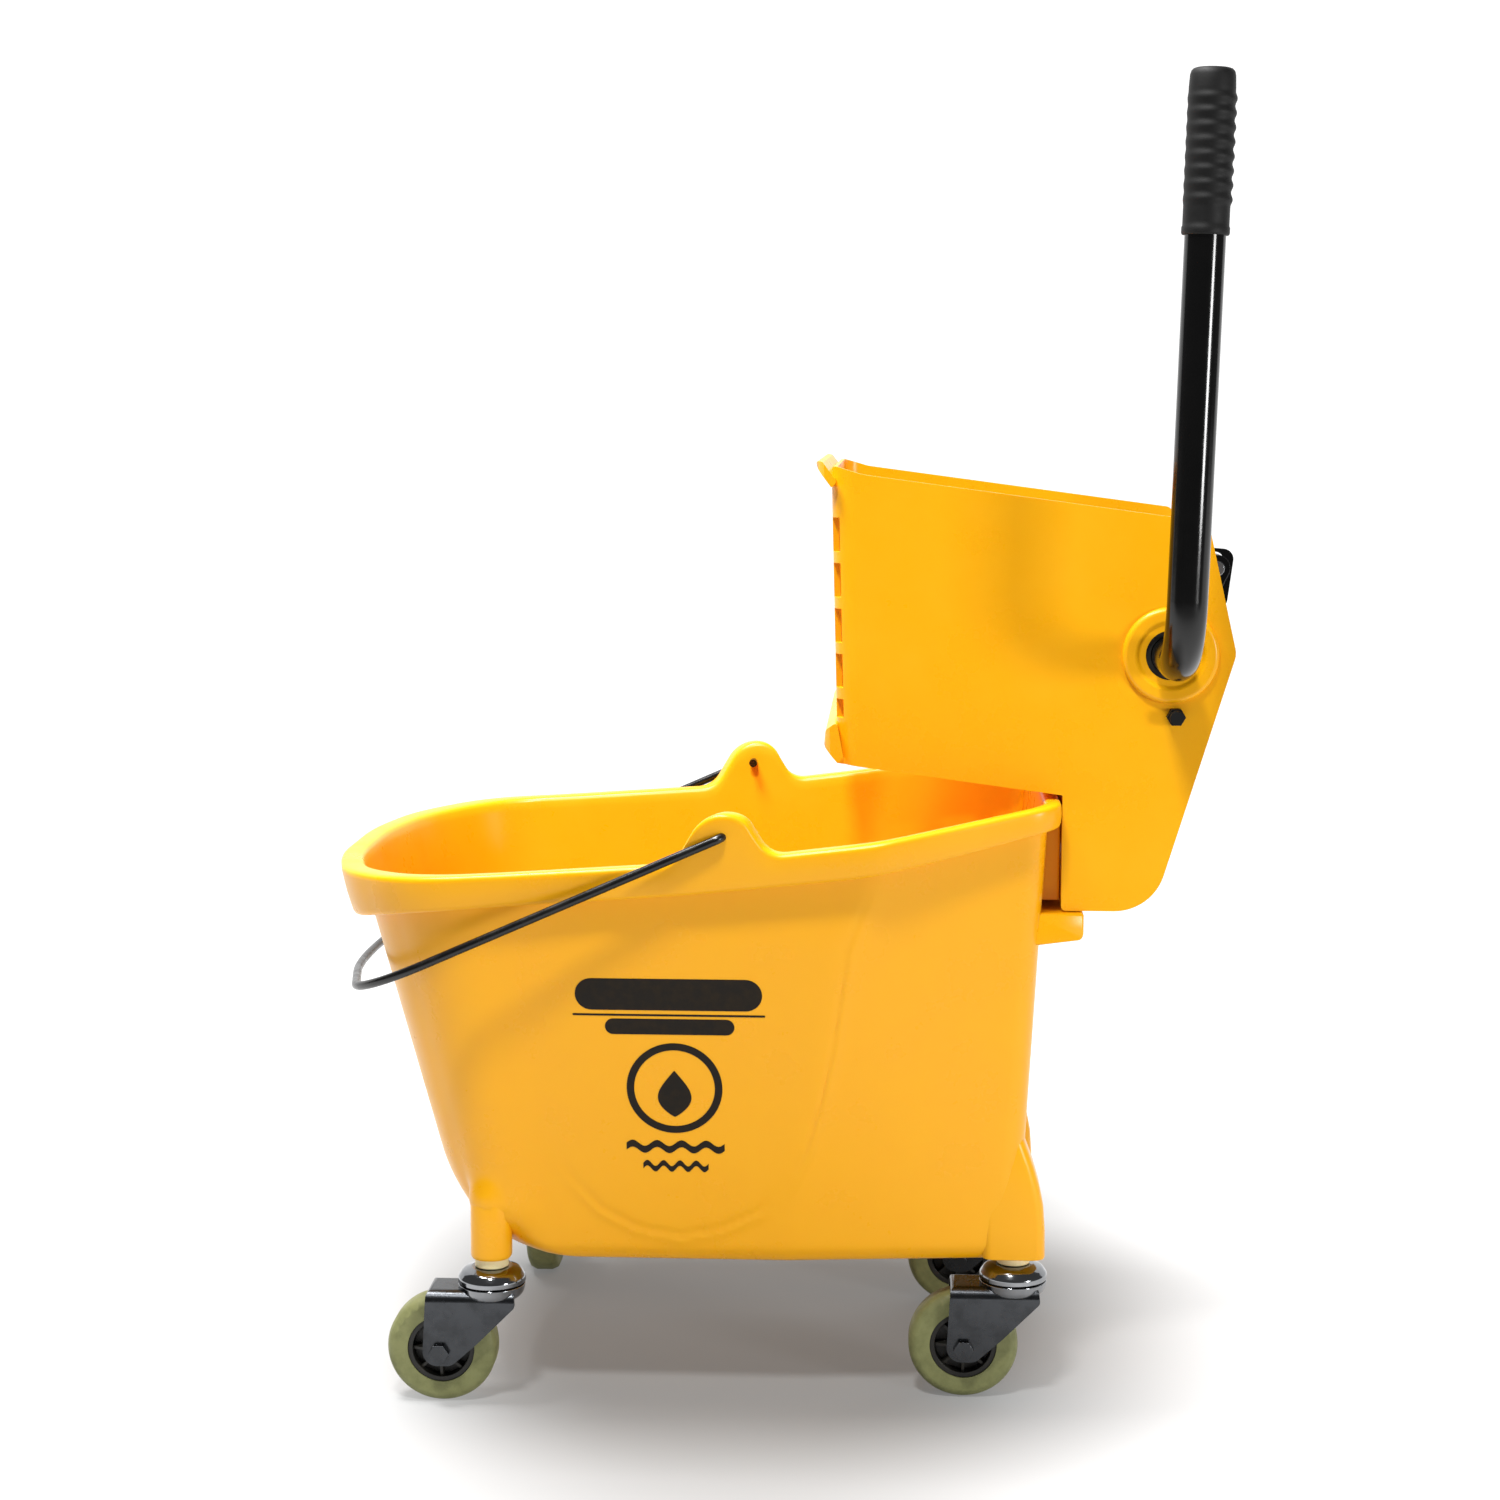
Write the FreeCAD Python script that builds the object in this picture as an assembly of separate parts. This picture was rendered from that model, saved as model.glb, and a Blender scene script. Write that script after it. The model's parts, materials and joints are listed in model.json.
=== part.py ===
import FreeCAD, Part
import math
import os

# Mop bucket on casters with a lift-off side-press wringer. Millimetres, +Z up, floor at Z = 0.
# +X runs from the pouring end to the wringer end, and the lever stands on the -Y side.

# --- frame: the middle of the whole object's box, taken off every solid on export. Before that the
# bucket's own middle plane is Y = 0.
BOX_MID_X, BOX_MID_Y = -10.98, -16.5

# --- bucket shell
WALL = 3.0
FLOOR_Z = 98.0            # underside of the shell
LEVEL_Z = 375.0           # height at which the upper outline is given
TOP_Z = 440.0             # the shell is drawn to here and trimmed to the rim line
FLOOR_HALF_WIDTH, LEVEL_HALF_WIDTH = 127.0, 174.0
FLOOR_FRONT_X, LEVEL_FRONT_X = -228.0, -306.0
FLOOR_REAR_X, LEVEL_REAR_X = 158.0, 171.5
FLOOR_REAR_HALF, LEVEL_REAR_HALF = 112.0, 143.0
FLOOR_CREASE_X, LEVEL_CREASE_X = 0.0, 60.0
# the corner between front and side, from floor to rim level: share of the width where the front ends,
# how far back that is, and how far back the side begins
FLOOR_CORNER, LEVEL_CORNER = (0.80, 9.0, 34.0), (0.70, 17.0, 66.0)
# radii of the front's three rounded corners a side, from floor to rim level
FLOOR_RADII, LEVEL_RADII = (200.0, 30.0, 28.0), (270.0, 100.0, 80.0)
# the edge round the floor as (rise, taken in at the sides, taken in at the front)
FLOOR_EDGE = [(0.0, 12.0, 50.0), (3.0, 6.0, 36.0), (9.0, 1.5, 23.0), (20.0, 0.0, 13.0), (40.0, 0.0, 6.5),
              (52.0, 0.0, 3.5), (72.0, 0.0, 0.0)]

# --- rim: a band that turns down outside the wall; (x, top, bottom) from front to rear
RIM_REACH, RIM_REAR_REACH = 12.0, 8.5
RIM_LINE = [(-330, 366, 328), (-290, 368, 332), (-240, 372, 347), (-184, 375, 353),
            (-53, 384, 363), (60, 398, 376), (130, 411, 392), (200, 424, 410)]

# --- ears and bail
EAR_X, EAR_TOP_Z, EAR_R = -37.0, 418.0, 21.0
EAR_FOOT_R, EAR_FOOT_Z = 26.0, 380.0
BAIL_PIVOT = (-38.0, 402.5)
BAIL_HALF_WIDTH, BAIL_R = 193.5, 3.0
BAIL_CORNER, BAIL_REACH, BAIL_DROP_DEG = 262.0, 302.0, 23.7
BAIL_HOOK, BAIL_BEND, BAIL_CORNER_R, BAIL_BOW_R = 26.0, 6.0, 62.0, 400.0
BAIL_HOLE_GAP = 0.08

# --- wringer shelf on the rear wall
SHELF_X, SHELF_TOP, SHELF_LOW, SHELF_ROOT, SHELF_HALF = 198.0, 343.5, 328.0, 321.0, 132.0

# --- casters
FRONT_STEM, REAR_STEM = (-201.0, 125.0), (155.6, 98.0)
WHEEL_R, WHEEL_W, TYRE_INNER_R, TRAIL = 37.5, 24.0, 23.0, 34.0
FORK_HALF, FORK_T, FORK_BEND, WEB_TOP = 19.0, 2.5, 8.0, 80.0
CUP_R, SEAM_LOW, SEAM_HIGH, CUP_BOTTOM, CAP_TOP = 23.2, 82.0, 83.0, 70.5, 93.5
RACE_LOW, RACE_HIGH, RACE_R, BALL_R, BALL_RING, BALLS = 79.5, 85.5, 20.0, 2.95, 15.5, 12
STEM_R, STEM_TOP, SLEEVE_R, COLLAR_R, LEG_Z = 5.5, 126.0, 8.5, 11.5, 100.0
AXLE_R, LEG_HALF, LEG_ROUND = 4.8, 14.0, 8.0
# the leg from its foot up as (height, moved in towards the bath, half width): it fades into the wall
LEG_LEVELS = [(100.0, 0.0, 14.0), (144.0, 0.0, 14.0), (164.0, 4.0, 12.0), (184.0, 11.0, 9.0)]
# the rear foot as (height, middle x, half length, middle y, half width)
FOOT_LEVELS = [(100.0, 155.0, 21.5, 98.0, 18.5), (138.0, 154.0, 21.0, 99.0, 19.5), (166.0, 152.0, 16.0, 101.0, 18.0),
               (190.0, 150.0, 9.0, 103.0, 14.0)]
FOOT_ROUND = 7.0

# turn of each caster about its stem from trailing to -X
CASTER_TURN_DEG = {"front_near": 0.0, "front_far": -90.0, "rear_near": 0.0, "rear_far": 0.0}

# --- wringer housing, leaning back by TILT
TILT = math.radians(7.3)
PANEL_OUT, PANEL_T = 127.0, 4.0
PANEL_IN = PANEL_OUT - PANEL_T
PANEL = [(29, 639, 3), (50, 632.7, 30), (275, 602.5, 5), (295, 516, 14), (243, 344.5, 34), (183, 344.5, 3),
         (183, 422, 1), (34, 442, 3)]
BASKET_FRONT = (29.0, 639.0, 34.0, 442.0)  # the front wall's outside: x and z at its top, x and z at its foot
CORNER_R = 16.0
LIP_REACH = 10.0
STEP_LINE = [(272, 480, 1.5), (257, 426, 20), (229, 366, 25), (206, 344, 1)]
STEP_H = 1.6
TOP_LIP = [(29.5, 624, 1), (20.5, 636, 4), (18.5, 641.8, 1.5), (23.5, 641, 1.5), (33.2, 628, 3)]
LOW_LIP = [(33.4, 470, 2), (26, 464, 4), (25, 453, 5), (34.2, 442.2, 1), (38, 446, 0.5)]
SLOT_ROWS = [(472.0, 484.5), (492.0, 514.5), (522.0, 544.5), (552.0, 574.5), (582.0, 604.5)]
SLOT_COLUMNS, SLOT_PITCH, SLOT_HALF = 11, 23.5, 5.0
SHAFT, HOLE_R, BOSS_R, BOSS_H = (252.0, 515.5), 16.4, 31.6, 5.0
TIE, TIE_R = (256.0, 475.0), 3.0

# --- lever and drive
TUBE_R, TUBE_WALL, TUBE_BEND, TUBE_END = 12.7, 1.6, 42.0, 142.0
LEVER_Y, LEVER_TOP = -214.0, 874.0
LEVER_LEAN = 0.028        # rearward run of the lever for each millimetre it rises
GRIP_LOW, GRIP_TOP, GRIP_R = 781.0, 881.0, 14.6
CRANK_PIN = (284.0, 570.5)
CRANK_Y, CRANK_T, PIN_R = 95.0, 6.0, 5.0
YOKE_Y, YOKE_T, YOKE_SLOT_HALF, YOKE_WALL = 86.0, 6.0, 7.2, 5.5
YOKE_OFFSET = 1.4         # the pin stands this far behind the middle of its slot at rest

# --- press plate
PLATE_X, PLATE_T, PLATE_HALF, PLATE_SKIN = 183.0, 14.0, 116.0, 4.0
RAIL_MID, RAIL_GAP, RAIL_T, RAIL_REACH = 55.0, 10.0, 4.0, 6.0
SPRING_R, SPRING_WIRE_R, SPRING_TURNS, SPRING_PITCH, SPRING_Y = 17.6, 1.6, 4, 3.7, 102.0
SPRING_HOOK = (261.0, 557.5)

UP = FreeCAD.Vector(0, 0, 1)
ALONG = FreeCAD.Vector(0, 1, 0)


def vec(x, y, z):
    return FreeCAD.Vector(x, y, z)


def rounded(points, place):
    """Closed wire through (a, b, radius) corners, each rounded unless its radius is 0; place makes the 3-D point."""
    rounds = []
    count = len(points)
    for i, (a, b, radius) in enumerate(points):
        corner = vec(a, b, 0)
        back = (vec(*points[i - 1][:2], 0) - corner).normalize()
        ahead = (vec(*points[(i + 1) % count][:2], 0) - corner).normalize()
        half = back.getAngle(ahead) / 2
        cut = radius / math.tan(half)
        middle = (back + ahead).normalize()
        reach = radius / math.sin(half) - radius
        rounds.append((corner + back * cut, corner + middle * reach, corner + ahead * cut))
    edges = []
    for i, (start, middle, end) in enumerate(rounds):
        if points[i][2] > 0:
            edges.append(Part.Arc(*[place(p.x, p.y) for p in (start, middle, end)]).toShape())
        following = rounds[(i + 1) % count][0]
        if end.distanceToPoint(following) > 1e-6:
            edges.append(Part.LineSegment(place(end.x, end.y), place(following.x, following.y)).toShape())
    return Part.Wire(edges)


def side_plate(points, y_low, y_high):
    """Solid with a rounded outline in XZ, standing between two Y values."""
    wire = rounded(points, lambda a, b: vec(a, y_low, b))
    return Part.Face(wire).extrude(vec(0, y_high - y_low, 0))


def block(x, y, z):
    """Box from three (low, high) pairs."""
    return Part.makeBox(x[1] - x[0], y[1] - y[0], z[1] - z[0], vec(x[0], y[0], z[0]))


def rod(start, end, radius):
    axis = end - start
    return Part.makeCylinder(radius, axis.Length, start, axis)


def rod_y(centre, y_low, y_high, radius):
    return rod(vec(centre[0], y_low, centre[1]), vec(centre[0], y_high, centre[1]), radius)


def lathe(points, centre=(0.0, 0.0), axis=UP):
    """Solid of revolution from (radius, height) corners, with a third number where one is rounded; the axis is
    vertical, or along Y."""
    corners = [(point[0], point[1], point[2] if len(point) > 2 else 0) for point in points]
    solid = Part.Face(rounded(corners, lambda r, h: vec(r, 0, h))).revolve(vec(0, 0, 0), UP, 360)
    if axis == ALONG:
        solid.rotate(vec(0, 0, 0), vec(1, 0, 0), -90)
    solid.translate(vec(centre[0], 0, centre[1]) if axis == ALONG else vec(centre[0], centre[1], 0))
    return solid


def fused(shapes):
    whole = shapes[0].fuse(shapes[1:]).removeSplitter()
    return whole.Solids[0] if len(whole.Solids) == 1 else whole


def mirrored(shape):
    return shape.mirror(vec(0, 0, 0), ALONG)


def lerp(low, high, share):
    return low + (high - low) * share


# ---------------------------------------------------------------- bucket
def shell_outline(z, inset, rear_inset=None, front_inset=0.0):
    """Outline of the shell at height z, taken in by inset, or by other amounts at the rear and the front."""
    rear_inset = inset if rear_inset is None else rear_inset
    k = (z - FLOOR_Z) / (LEVEL_Z - FLOOR_Z)
    front = lerp(FLOOR_FRONT_X, LEVEL_FRONT_X, k) + inset + front_inset
    half = lerp(FLOOR_HALF_WIDTH, LEVEL_HALF_WIDTH, k) - inset
    rear = lerp(FLOOR_REAR_X, LEVEL_REAR_X, k) - rear_inset
    rear_half = lerp(FLOOR_REAR_HALF, LEVEL_REAR_HALF, k) - rear_inset
    crease = lerp(FLOOR_CREASE_X, LEVEL_CREASE_X, k)
    share, step, run = [lerp(low, high, k) for low, high in zip(FLOOR_CORNER, LEVEL_CORNER)]
    blunt, turn, shoulder = [lerp(low, high, k) for low, high in zip(FLOOR_RADII, LEVEL_RADII)]
    side = [(front, half * 0.3, blunt), (front + step, half * share, turn), (front + run, half, shoulder),
            (crease, half, 60), (rear, rear_half, 18 - inset)]
    other = [(x, -y, r) for x, y, r in reversed(side)]
    return rounded(side + other, lambda a, b: vec(a, b, z))


def shell_solid(inset, floor):
    """The shell's outer solid, or its cavity when inset by the wall, with the edge round its floor."""
    levels = [(floor + rise, inset + side, front) for rise, side, front in FLOOR_EDGE] + [(TOP_Z, inset, 0.0)]
    return Part.makeLoft([shell_outline(z, d, None, front) for z, d, front in levels], True, True)


def rim_slab(top_drop, low_drop, to_bottom):
    """Slab right across the bucket under the rim line, top_drop below it, down to the band's edge or by low_drop."""
    tops = [vec(x, -300, top - top_drop) for x, top, low in RIM_LINE]
    lows = [vec(x, -300, low if to_bottom else top - low_drop) for x, top, low in RIM_LINE]
    return Part.Face(Part.makePolygon(tops + lows[::-1] + tops[:1])).extrude(vec(0, 600, 0))


def rim_prism(reach, rear_reach):
    """Upright prism of the rim's outline, standing out from the wall by reach and dying away to the rear."""
    outline = shell_outline(LEVEL_Z, -reach, -rear_reach)
    return Part.Face(outline).extrude(vec(0, 0, 400)).translated(vec(0, 0, -200))


def rim(cavity):
    top = rim_prism(RIM_REACH, RIM_REAR_REACH).common(rim_slab(0, WALL, False)).cut(cavity)
    skirt = rim_prism(RIM_REACH, RIM_REAR_REACH).cut(rim_prism(RIM_REACH - WALL, RIM_REAR_REACH - WALL))
    return fused([top, skirt.common(rim_slab(0, 0, True))])


def ear(side):
    """Round lug on the band, with hollow shoulders either side, and the hole for the bail."""
    face = LEVEL_HALF_WIDTH + RIM_REACH
    top = EAR_TOP_Z - EAR_R
    foot = EAR_R + EAR_FOOT_R
    outline = [(EAR_X - foot, EAR_FOOT_Z - 6, 1), (EAR_X - foot, EAR_FOOT_Z, 1),
               (EAR_X - EAR_R - 4, EAR_FOOT_Z + 7, 16), (EAR_X - EAR_R + 2, EAR_TOP_Z, 17),
               (EAR_X + EAR_R - 2, EAR_TOP_Z, 17), (EAR_X + EAR_R + 4, EAR_FOOT_Z + 12, 16),
               (EAR_X + foot, EAR_FOOT_Z + 8, 1), (EAR_X + foot, EAR_FOOT_Z - 6, 1)]
    lug = side_plate(outline, face - 9, face).fuse(rod_y((EAR_X, top), face, face + 1.0, 15))
    lug = lug.cut(rod_y(BAIL_PIVOT, face - 20, face + 20, BAIL_R + BAIL_HOLE_GAP))
    return lug if side > 0 else mirrored(lug)


def shelf():
    """Ledge behind the rear wall that the wringer stands on."""
    wall_x = LEVEL_REAR_X - 8
    outline = [(wall_x, SHELF_TOP, 1), (SHELF_X, SHELF_TOP, 2), (SHELF_X, SHELF_LOW, 5), (wall_x, SHELF_ROOT, 1)]
    return side_plate(outline, -SHELF_HALF, SHELF_HALF)


def square_wire(centre, half_x, half_y, radius, z):
    corners = [(sx * half_x, sy * half_y, radius) for sx, sy in ((-1, -1), (1, -1), (1, 1), (-1, 1))]
    return rounded(corners, lambda a, b: vec(centre[0] + a, centre[1] + b, z))


def front_leg(side):
    x, y = FRONT_STEM
    return Part.makeLoft([square_wire((x + into, side * (y - into)), half, half, LEG_ROUND * half / LEG_HALF, z)
                          for z, into, half in LEG_LEVELS], True, True)


def rear_foot(side):
    """Foot that swells out of the rear corner over the caster."""
    return Part.makeLoft([square_wire((cx, side * cy), hx, hy, FOOT_ROUND, z)
                          for z, cx, hx, cy, hy in FOOT_LEVELS], True, True)


def bucket_tub():
    cavity = shell_solid(WALL, FLOOR_Z + WALL)
    wall = shell_solid(0, FLOOR_Z).common(block((-400, 400), (-300, 300), (0, 600)))
    above = rim_slab(-200, 0, False)
    solids = [wall.cut(above), rim(cavity), shelf()]
    for side in (-1, 1):
        solids += [front_leg(side), rear_foot(side), ear(side)]
    tub = fused(solids).cut(cavity)
    for x, y in stem_places():
        socket = Part.makeCylinder(SLEEVE_R, STEM_TOP + 4, vec(x, y, 0))
        recess = Part.makeCylinder(COLLAR_R + 0.4, 10, vec(x, y, LEG_Z - 10))
        tub = tub.cut(socket).cut(recess)
        post = Part.makeCylinder(SLEEVE_R + WALL, STEM_TOP + 3 - FLOOR_Z, vec(x, y, FLOOR_Z + 3))
        tub = tub.fuse(post.cut(Part.makeCylinder(SLEEVE_R, STEM_TOP, vec(x, y, 0)))).removeSplitter()
    return tub.Solids[0]


def stem_places():
    return [(x, side * y) for x, y in (FRONT_STEM, REAR_STEM) for side in (-1, 1)]


# ---------------------------------------------------------------- bail
def bent_wire(points, bends):
    """Wire through the points, with an arc of the given radius at each inner corner."""
    edges, start = [], points[0]
    for before, corner, after, radius in zip(points, points[1:], points[2:], bends):
        back, ahead = (before - corner).normalize(), (after - corner).normalize()
        half = back.getAngle(ahead) / 2
        cut = radius / math.tan(half)
        middle = corner + (back + ahead).normalize() * (radius / math.sin(half) - radius)
        arc_start, arc_end = corner + back * cut, corner + ahead * cut
        edges += [Part.LineSegment(start, arc_start).toShape(), Part.Arc(arc_start, middle, arc_end).toShape()]
        start = arc_end
    edges.append(Part.LineSegment(start, points[-1]).toShape())
    return edges


def swept(edges, radius):
    path = Part.Wire(edges)
    start = path.Edges[0]
    direction = start.tangentAt(start.FirstParameter)
    ring = Part.Wire(Part.makeCircle(radius, start.valueAt(start.FirstParameter), direction))
    return Part.Solid(path.makePipeShell([ring], True, False))


def bail_wire():
    """Round wire: an end through each ear, a straight arm each side and a slightly bowed bar across the front."""
    drop = math.radians(BAIL_DROP_DEG)
    px, pz = BAIL_PIVOT

    def place(along, y):
        return vec(px - along * math.cos(drop), y, pz - along * math.sin(drop))

    inner = BAIL_HALF_WIDTH - BAIL_HOOK
    points = [vec(px, -inner, pz), place(0, -BAIL_HALF_WIDTH), place(BAIL_CORNER, -BAIL_HALF_WIDTH),
              place(BAIL_REACH, 0), place(BAIL_CORNER, BAIL_HALF_WIDTH), place(0, BAIL_HALF_WIDTH),
              vec(px, inner, pz)]
    return swept(bent_wire(points, [BAIL_BEND, BAIL_CORNER_R, BAIL_BOW_R, BAIL_CORNER_R, BAIL_BEND]), BAIL_R)


# ---------------------------------------------------------------- casters, built on the swivel axis, trailing to -X
def caster_stem():
    """Fixed steel stem with the domed upper race and the riveted lower end."""
    cap = [(0, SEAM_HIGH), (CUP_R, SEAM_HIGH, 0.6), (CUP_R, SEAM_HIGH + 4, 4), (20.0, CAP_TOP - 2, 6),
           (14.0, CAP_TOP, 2), (0, CAP_TOP)]
    dome = lathe(cap).cut(Part.makeCylinder(RACE_R, RACE_HIGH, vec(0, 0, 0)))
    stem = Part.makeCylinder(STEM_R, STEM_TOP - 66.5, vec(0, 0, 66.5))
    rivet = lathe([(0, 66.5), (6.0, 66.5), (8.0, 67.8), (8.0, 69.8), (0, 69.8)])
    return fused([dome, stem, rivet])


def filled_cup():
    """The lower cup's outside, solid."""
    return lathe([(0, CUP_BOTTOM), (14.0, CUP_BOTTOM, 3), (21.5, 74.0, 8), (CUP_R, SEAM_LOW, 0.6), (0, SEAM_LOW)])


def lower_cup():
    bowl = filled_cup()
    bowl = bowl.cut(Part.makeCylinder(RACE_R, 20, vec(0, 0, RACE_LOW)))
    return bowl.cut(Part.makeCylinder(STEM_R + 0.08, 60, vec(0, 0, 60)))


def race_balls():
    turns = [2 * math.pi * i / BALLS for i in range(BALLS)]
    middle = (RACE_LOW + RACE_HIGH) / 2
    return Part.makeCompound([Part.makeSphere(BALL_R, vec(BALL_RING * math.cos(a), BALL_RING * math.sin(a), middle))
                              for a in turns])


def fork(cup):
    """Pressed steel channel: a web under the cup and a leg each side of the wheel."""
    outline = [(-43, WEB_TOP, 4), (17, WEB_TOP, 3), (18, 70, 4), (-8, 44, 12), (-26, 28, 9), (-46, 28, 10)]
    channel = []
    for inset, foot in ((0.0, 20.0), (FORK_T, 15.0)):
        half, top = FORK_HALF - inset, WEB_TOP - inset
        section = [(-half, foot, 0), (-half, top, FORK_BEND - inset), (half, top, FORK_BEND - inset), (half, foot, 0)]
        channel.append(Part.Face(rounded(section, lambda a, b: vec(-60, a, b))).extrude(vec(90, 0, 0)))
    whole = channel[0].cut(channel[1]).common(side_plate(outline, -FORK_HALF - 1, FORK_HALF + 1))
    whole = whole.cut(rod_y((-TRAIL, WHEEL_R), -40, 40, AXLE_R)).cut(filled_cup())
    return max(whole.Solids, key=lambda s: s.Volume)


def axle_bolt():
    head = hexagon((-TRAIL, WHEEL_R), -FORK_HALF - 4.5, -FORK_HALF, 7.0)
    return fused([rod_y((-TRAIL, WHEEL_R), -FORK_HALF - 1, FORK_HALF + 8, AXLE_R), head])


def axle_nut():
    return hexagon((-TRAIL, WHEEL_R), FORK_HALF, FORK_HALF + 6.5, 7.5).cut(
        rod_y((-TRAIL, WHEEL_R), 0, 60, AXLE_R))


def hexagon(centre, y_low, y_high, radius):
    """Hexagonal head or nut along Y."""
    corners = [vec(centre[0] + radius * math.cos(math.radians(60 * i)), y_low,
                   centre[1] + radius * math.sin(math.radians(60 * i))) for i in range(7)]
    return Part.Face(Part.makePolygon(corners)).extrude(vec(0, y_high - y_low, 0))


def tyre():
    half, r, shoulder = WHEEL_W / 2, WHEEL_R, 6.0
    outline = [(TYRE_INNER_R, -half), (r - shoulder, -half), (r - shoulder * 0.35, -half + shoulder * 0.3),
               (r, -half + shoulder), (r, half - shoulder), (r - shoulder * 0.35, half - shoulder * 0.3),
               (r - shoulder, half), (TYRE_INNER_R, half)]
    return lathe(outline, (-TRAIL, WHEEL_R), ALONG)


def wheel_hub():
    """Dished hub: rim, thin web and a boss that spans the fork."""
    rim_half, web_half, boss_half = WHEEL_W / 2 - 1, 3.0, FORK_HALF - FORK_T - 0.5
    bore = AXLE_R + 0.08
    outline = [(bore, -boss_half), (9.5, -boss_half), (9.5, -web_half), (19.5, -web_half), (19.5, -rim_half),
               (TYRE_INNER_R, -rim_half), (TYRE_INNER_R, rim_half), (19.5, rim_half), (19.5, web_half),
               (9.5, web_half), (9.5, boss_half), (bore, boss_half)]
    return lathe(outline, (-TRAIL, WHEEL_R), ALONG)


def stem_sleeve():
    """Nylon sleeve that grips the stem in the leg, with a collar under it."""
    return lathe([(STEM_R, CAP_TOP + 0.3), (COLLAR_R, CAP_TOP + 0.3, 1), (COLLAR_R, LEG_Z), (SLEEVE_R, LEG_Z),
                  (SLEEVE_R, STEM_TOP), (STEM_R, STEM_TOP)])


def casters():
    cup = lower_cup()
    common = {"stem_sleeve": stem_sleeve(), "caster_stem": caster_stem(), "swivel_cup": cup, "swivel_balls": race_balls(), "fork": fork(cup),
              "axle_bolt": axle_bolt(), "axle_nut": axle_nut(), "tyre": tyre(), "wheel_hub": wheel_hub()}
    made = {}
    for (x, y), name in zip(stem_places(), ("front_near", "front_far", "rear_near", "rear_far")):
        for piece, shape in common.items():
            turned = shape.rotated(vec(0, 0, 0), UP, CASTER_TURN_DEG[name])
            made[piece + "_" + name] = turned.translated(vec(x, y, 0))
    return made


# ---------------------------------------------------------------- wringer
def tilted(back, rise):
    """Point of the wringer's leaning frame as (x, z): back from the front wall's foot, rise above its floor."""
    return (34 + back * math.cos(TILT) + rise * math.sin(TILT), 446 - back * math.sin(TILT) + rise * math.cos(TILT))


def leaning_block(back, y, rise):
    """Box in the wringer's leaning frame."""
    box = Part.makeBox(back[1] - back[0], y[1] - y[0], rise[1] - rise[0], vec(back[0], y[0], rise[0]))
    box.rotate(vec(0, 0, 0), ALONG, math.degrees(TILT))
    return box.translated(vec(34, 0, 446))


def drain_slots():
    """Slots through the basket floor."""
    slots = []
    for row in range(3):
        for column in range(9):
            back, y = 14 + row * 44, -96 + column * 24
            slots.append(leaning_block((back, back + 30), (y - 4, y + 4), (-10, 10)))
    return slots


def front_slots():
    """Upright slots through the front wall and round its corners."""
    slots = []
    for rows in SLOT_ROWS:
        for column in range(SLOT_COLUMNS):
            y = (column - (SLOT_COLUMNS - 1) / 2) * SLOT_PITCH
            slots.append(block((20, 50), (y - SLOT_HALF, y + SLOT_HALF), rows))
    return slots


def basket_prism(inset, low, high):
    """Leaning prism of the basket's plan, rounded at the front corners, its wall taken in by inset."""
    top_x, top_z, foot_x, foot_z = BASKET_FRONT
    wires = []
    for z in (low, high):
        front = lerp(foot_x, top_x, (z - foot_z) / (top_z - foot_z)) + inset
        half, radius = PANEL_OUT - inset, CORNER_R - inset
        corners = [(front, -half, radius), (330, -half, 0), (330, half, 0), (front, half, radius)]
        wires.append(rounded(corners, lambda a, b: vec(a, b, z)))
    return Part.makeLoft(wires, True, True)


def panel_step(side):
    """Raised strip along the rear edge of a side panel."""
    outline = STEP_LINE + [(330, 344, 1), (330, 480, 1)]
    strip = side_plate(outline, PANEL_OUT - 1, PANEL_OUT + STEP_H)
    strip = strip.common(side_plate(PANEL, PANEL_OUT - 2, PANEL_OUT + STEP_H + 1))
    return strip if side > 0 else mirrored(strip)


def shaft_boss(side):
    """Round pad with a soft edge and a shallow dish round the shaft hole."""
    boss = lathe([(0, PANEL_IN), (BOSS_R, PANEL_IN), (BOSS_R, PANEL_OUT + BOSS_H, 3.5),
                  (BOSS_R - 9, PANEL_OUT + BOSS_H, 3), (BOSS_R - 11, PANEL_OUT + 3, 2), (0, PANEL_OUT + 3)], SHAFT, ALONG)
    return boss if side > 0 else mirrored(boss)


def wringer_housing():
    """One moulding: side panels, slotted front wall and floor, lips, rear wall, hook web and guide rails."""
    shell = basket_prism(0, 330, 660).cut(basket_prism(PANEL_T, 320, 670))
    shell = shell.common(side_plate(PANEL, -PANEL_OUT - 1, PANEL_OUT + 1))
    lips = [side_plate(outline, -PANEL_OUT, PANEL_OUT).common(basket_prism(-LIP_REACH, 430, 660))
            for outline in (TOP_LIP, LOW_LIP)]
    floor = leaning_block((0, 176), (-PANEL_IN, PANEL_IN), (-PANEL_T, 0))
    rear = side_plate([(270, 482, 0.5), (256, 428, 20), (233, 370, 20), (208, 344.5, 0.5), (213.5, 344.5, 0.5),
                       (237, 368, 20), (260, 427, 20), (274, 482, 0.5)], -PANEL_IN, PANEL_IN)
    web = block((183.2, 187), (-PANEL_IN, PANEL_IN), (350, 424))
    solids = [shell, floor, rear, web] + lips
    for side in (-1, 1):
        low, high = sorted((side * PANEL_IN, side * (PANEL_IN - RAIL_REACH)))
        for edge in (-RAIL_GAP / 2 - RAIL_T, RAIL_GAP / 2):
            solids.append(leaning_block((40, 205), (low, high), (RAIL_MID + edge, RAIL_MID + edge + RAIL_T)))
        solids += [panel_step(side), shaft_boss(side)]
    housing = fused(solids)
    housing = housing.cut(rod_y(SHAFT, -200, 200, HOLE_R)).cut(rod_y(TIE, -200, 200, TIE_R))
    housing = housing.cut(Part.makeCompound(drain_slots() + front_slots()))
    return max(housing.Solids, key=lambda s: s.Volume)


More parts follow.
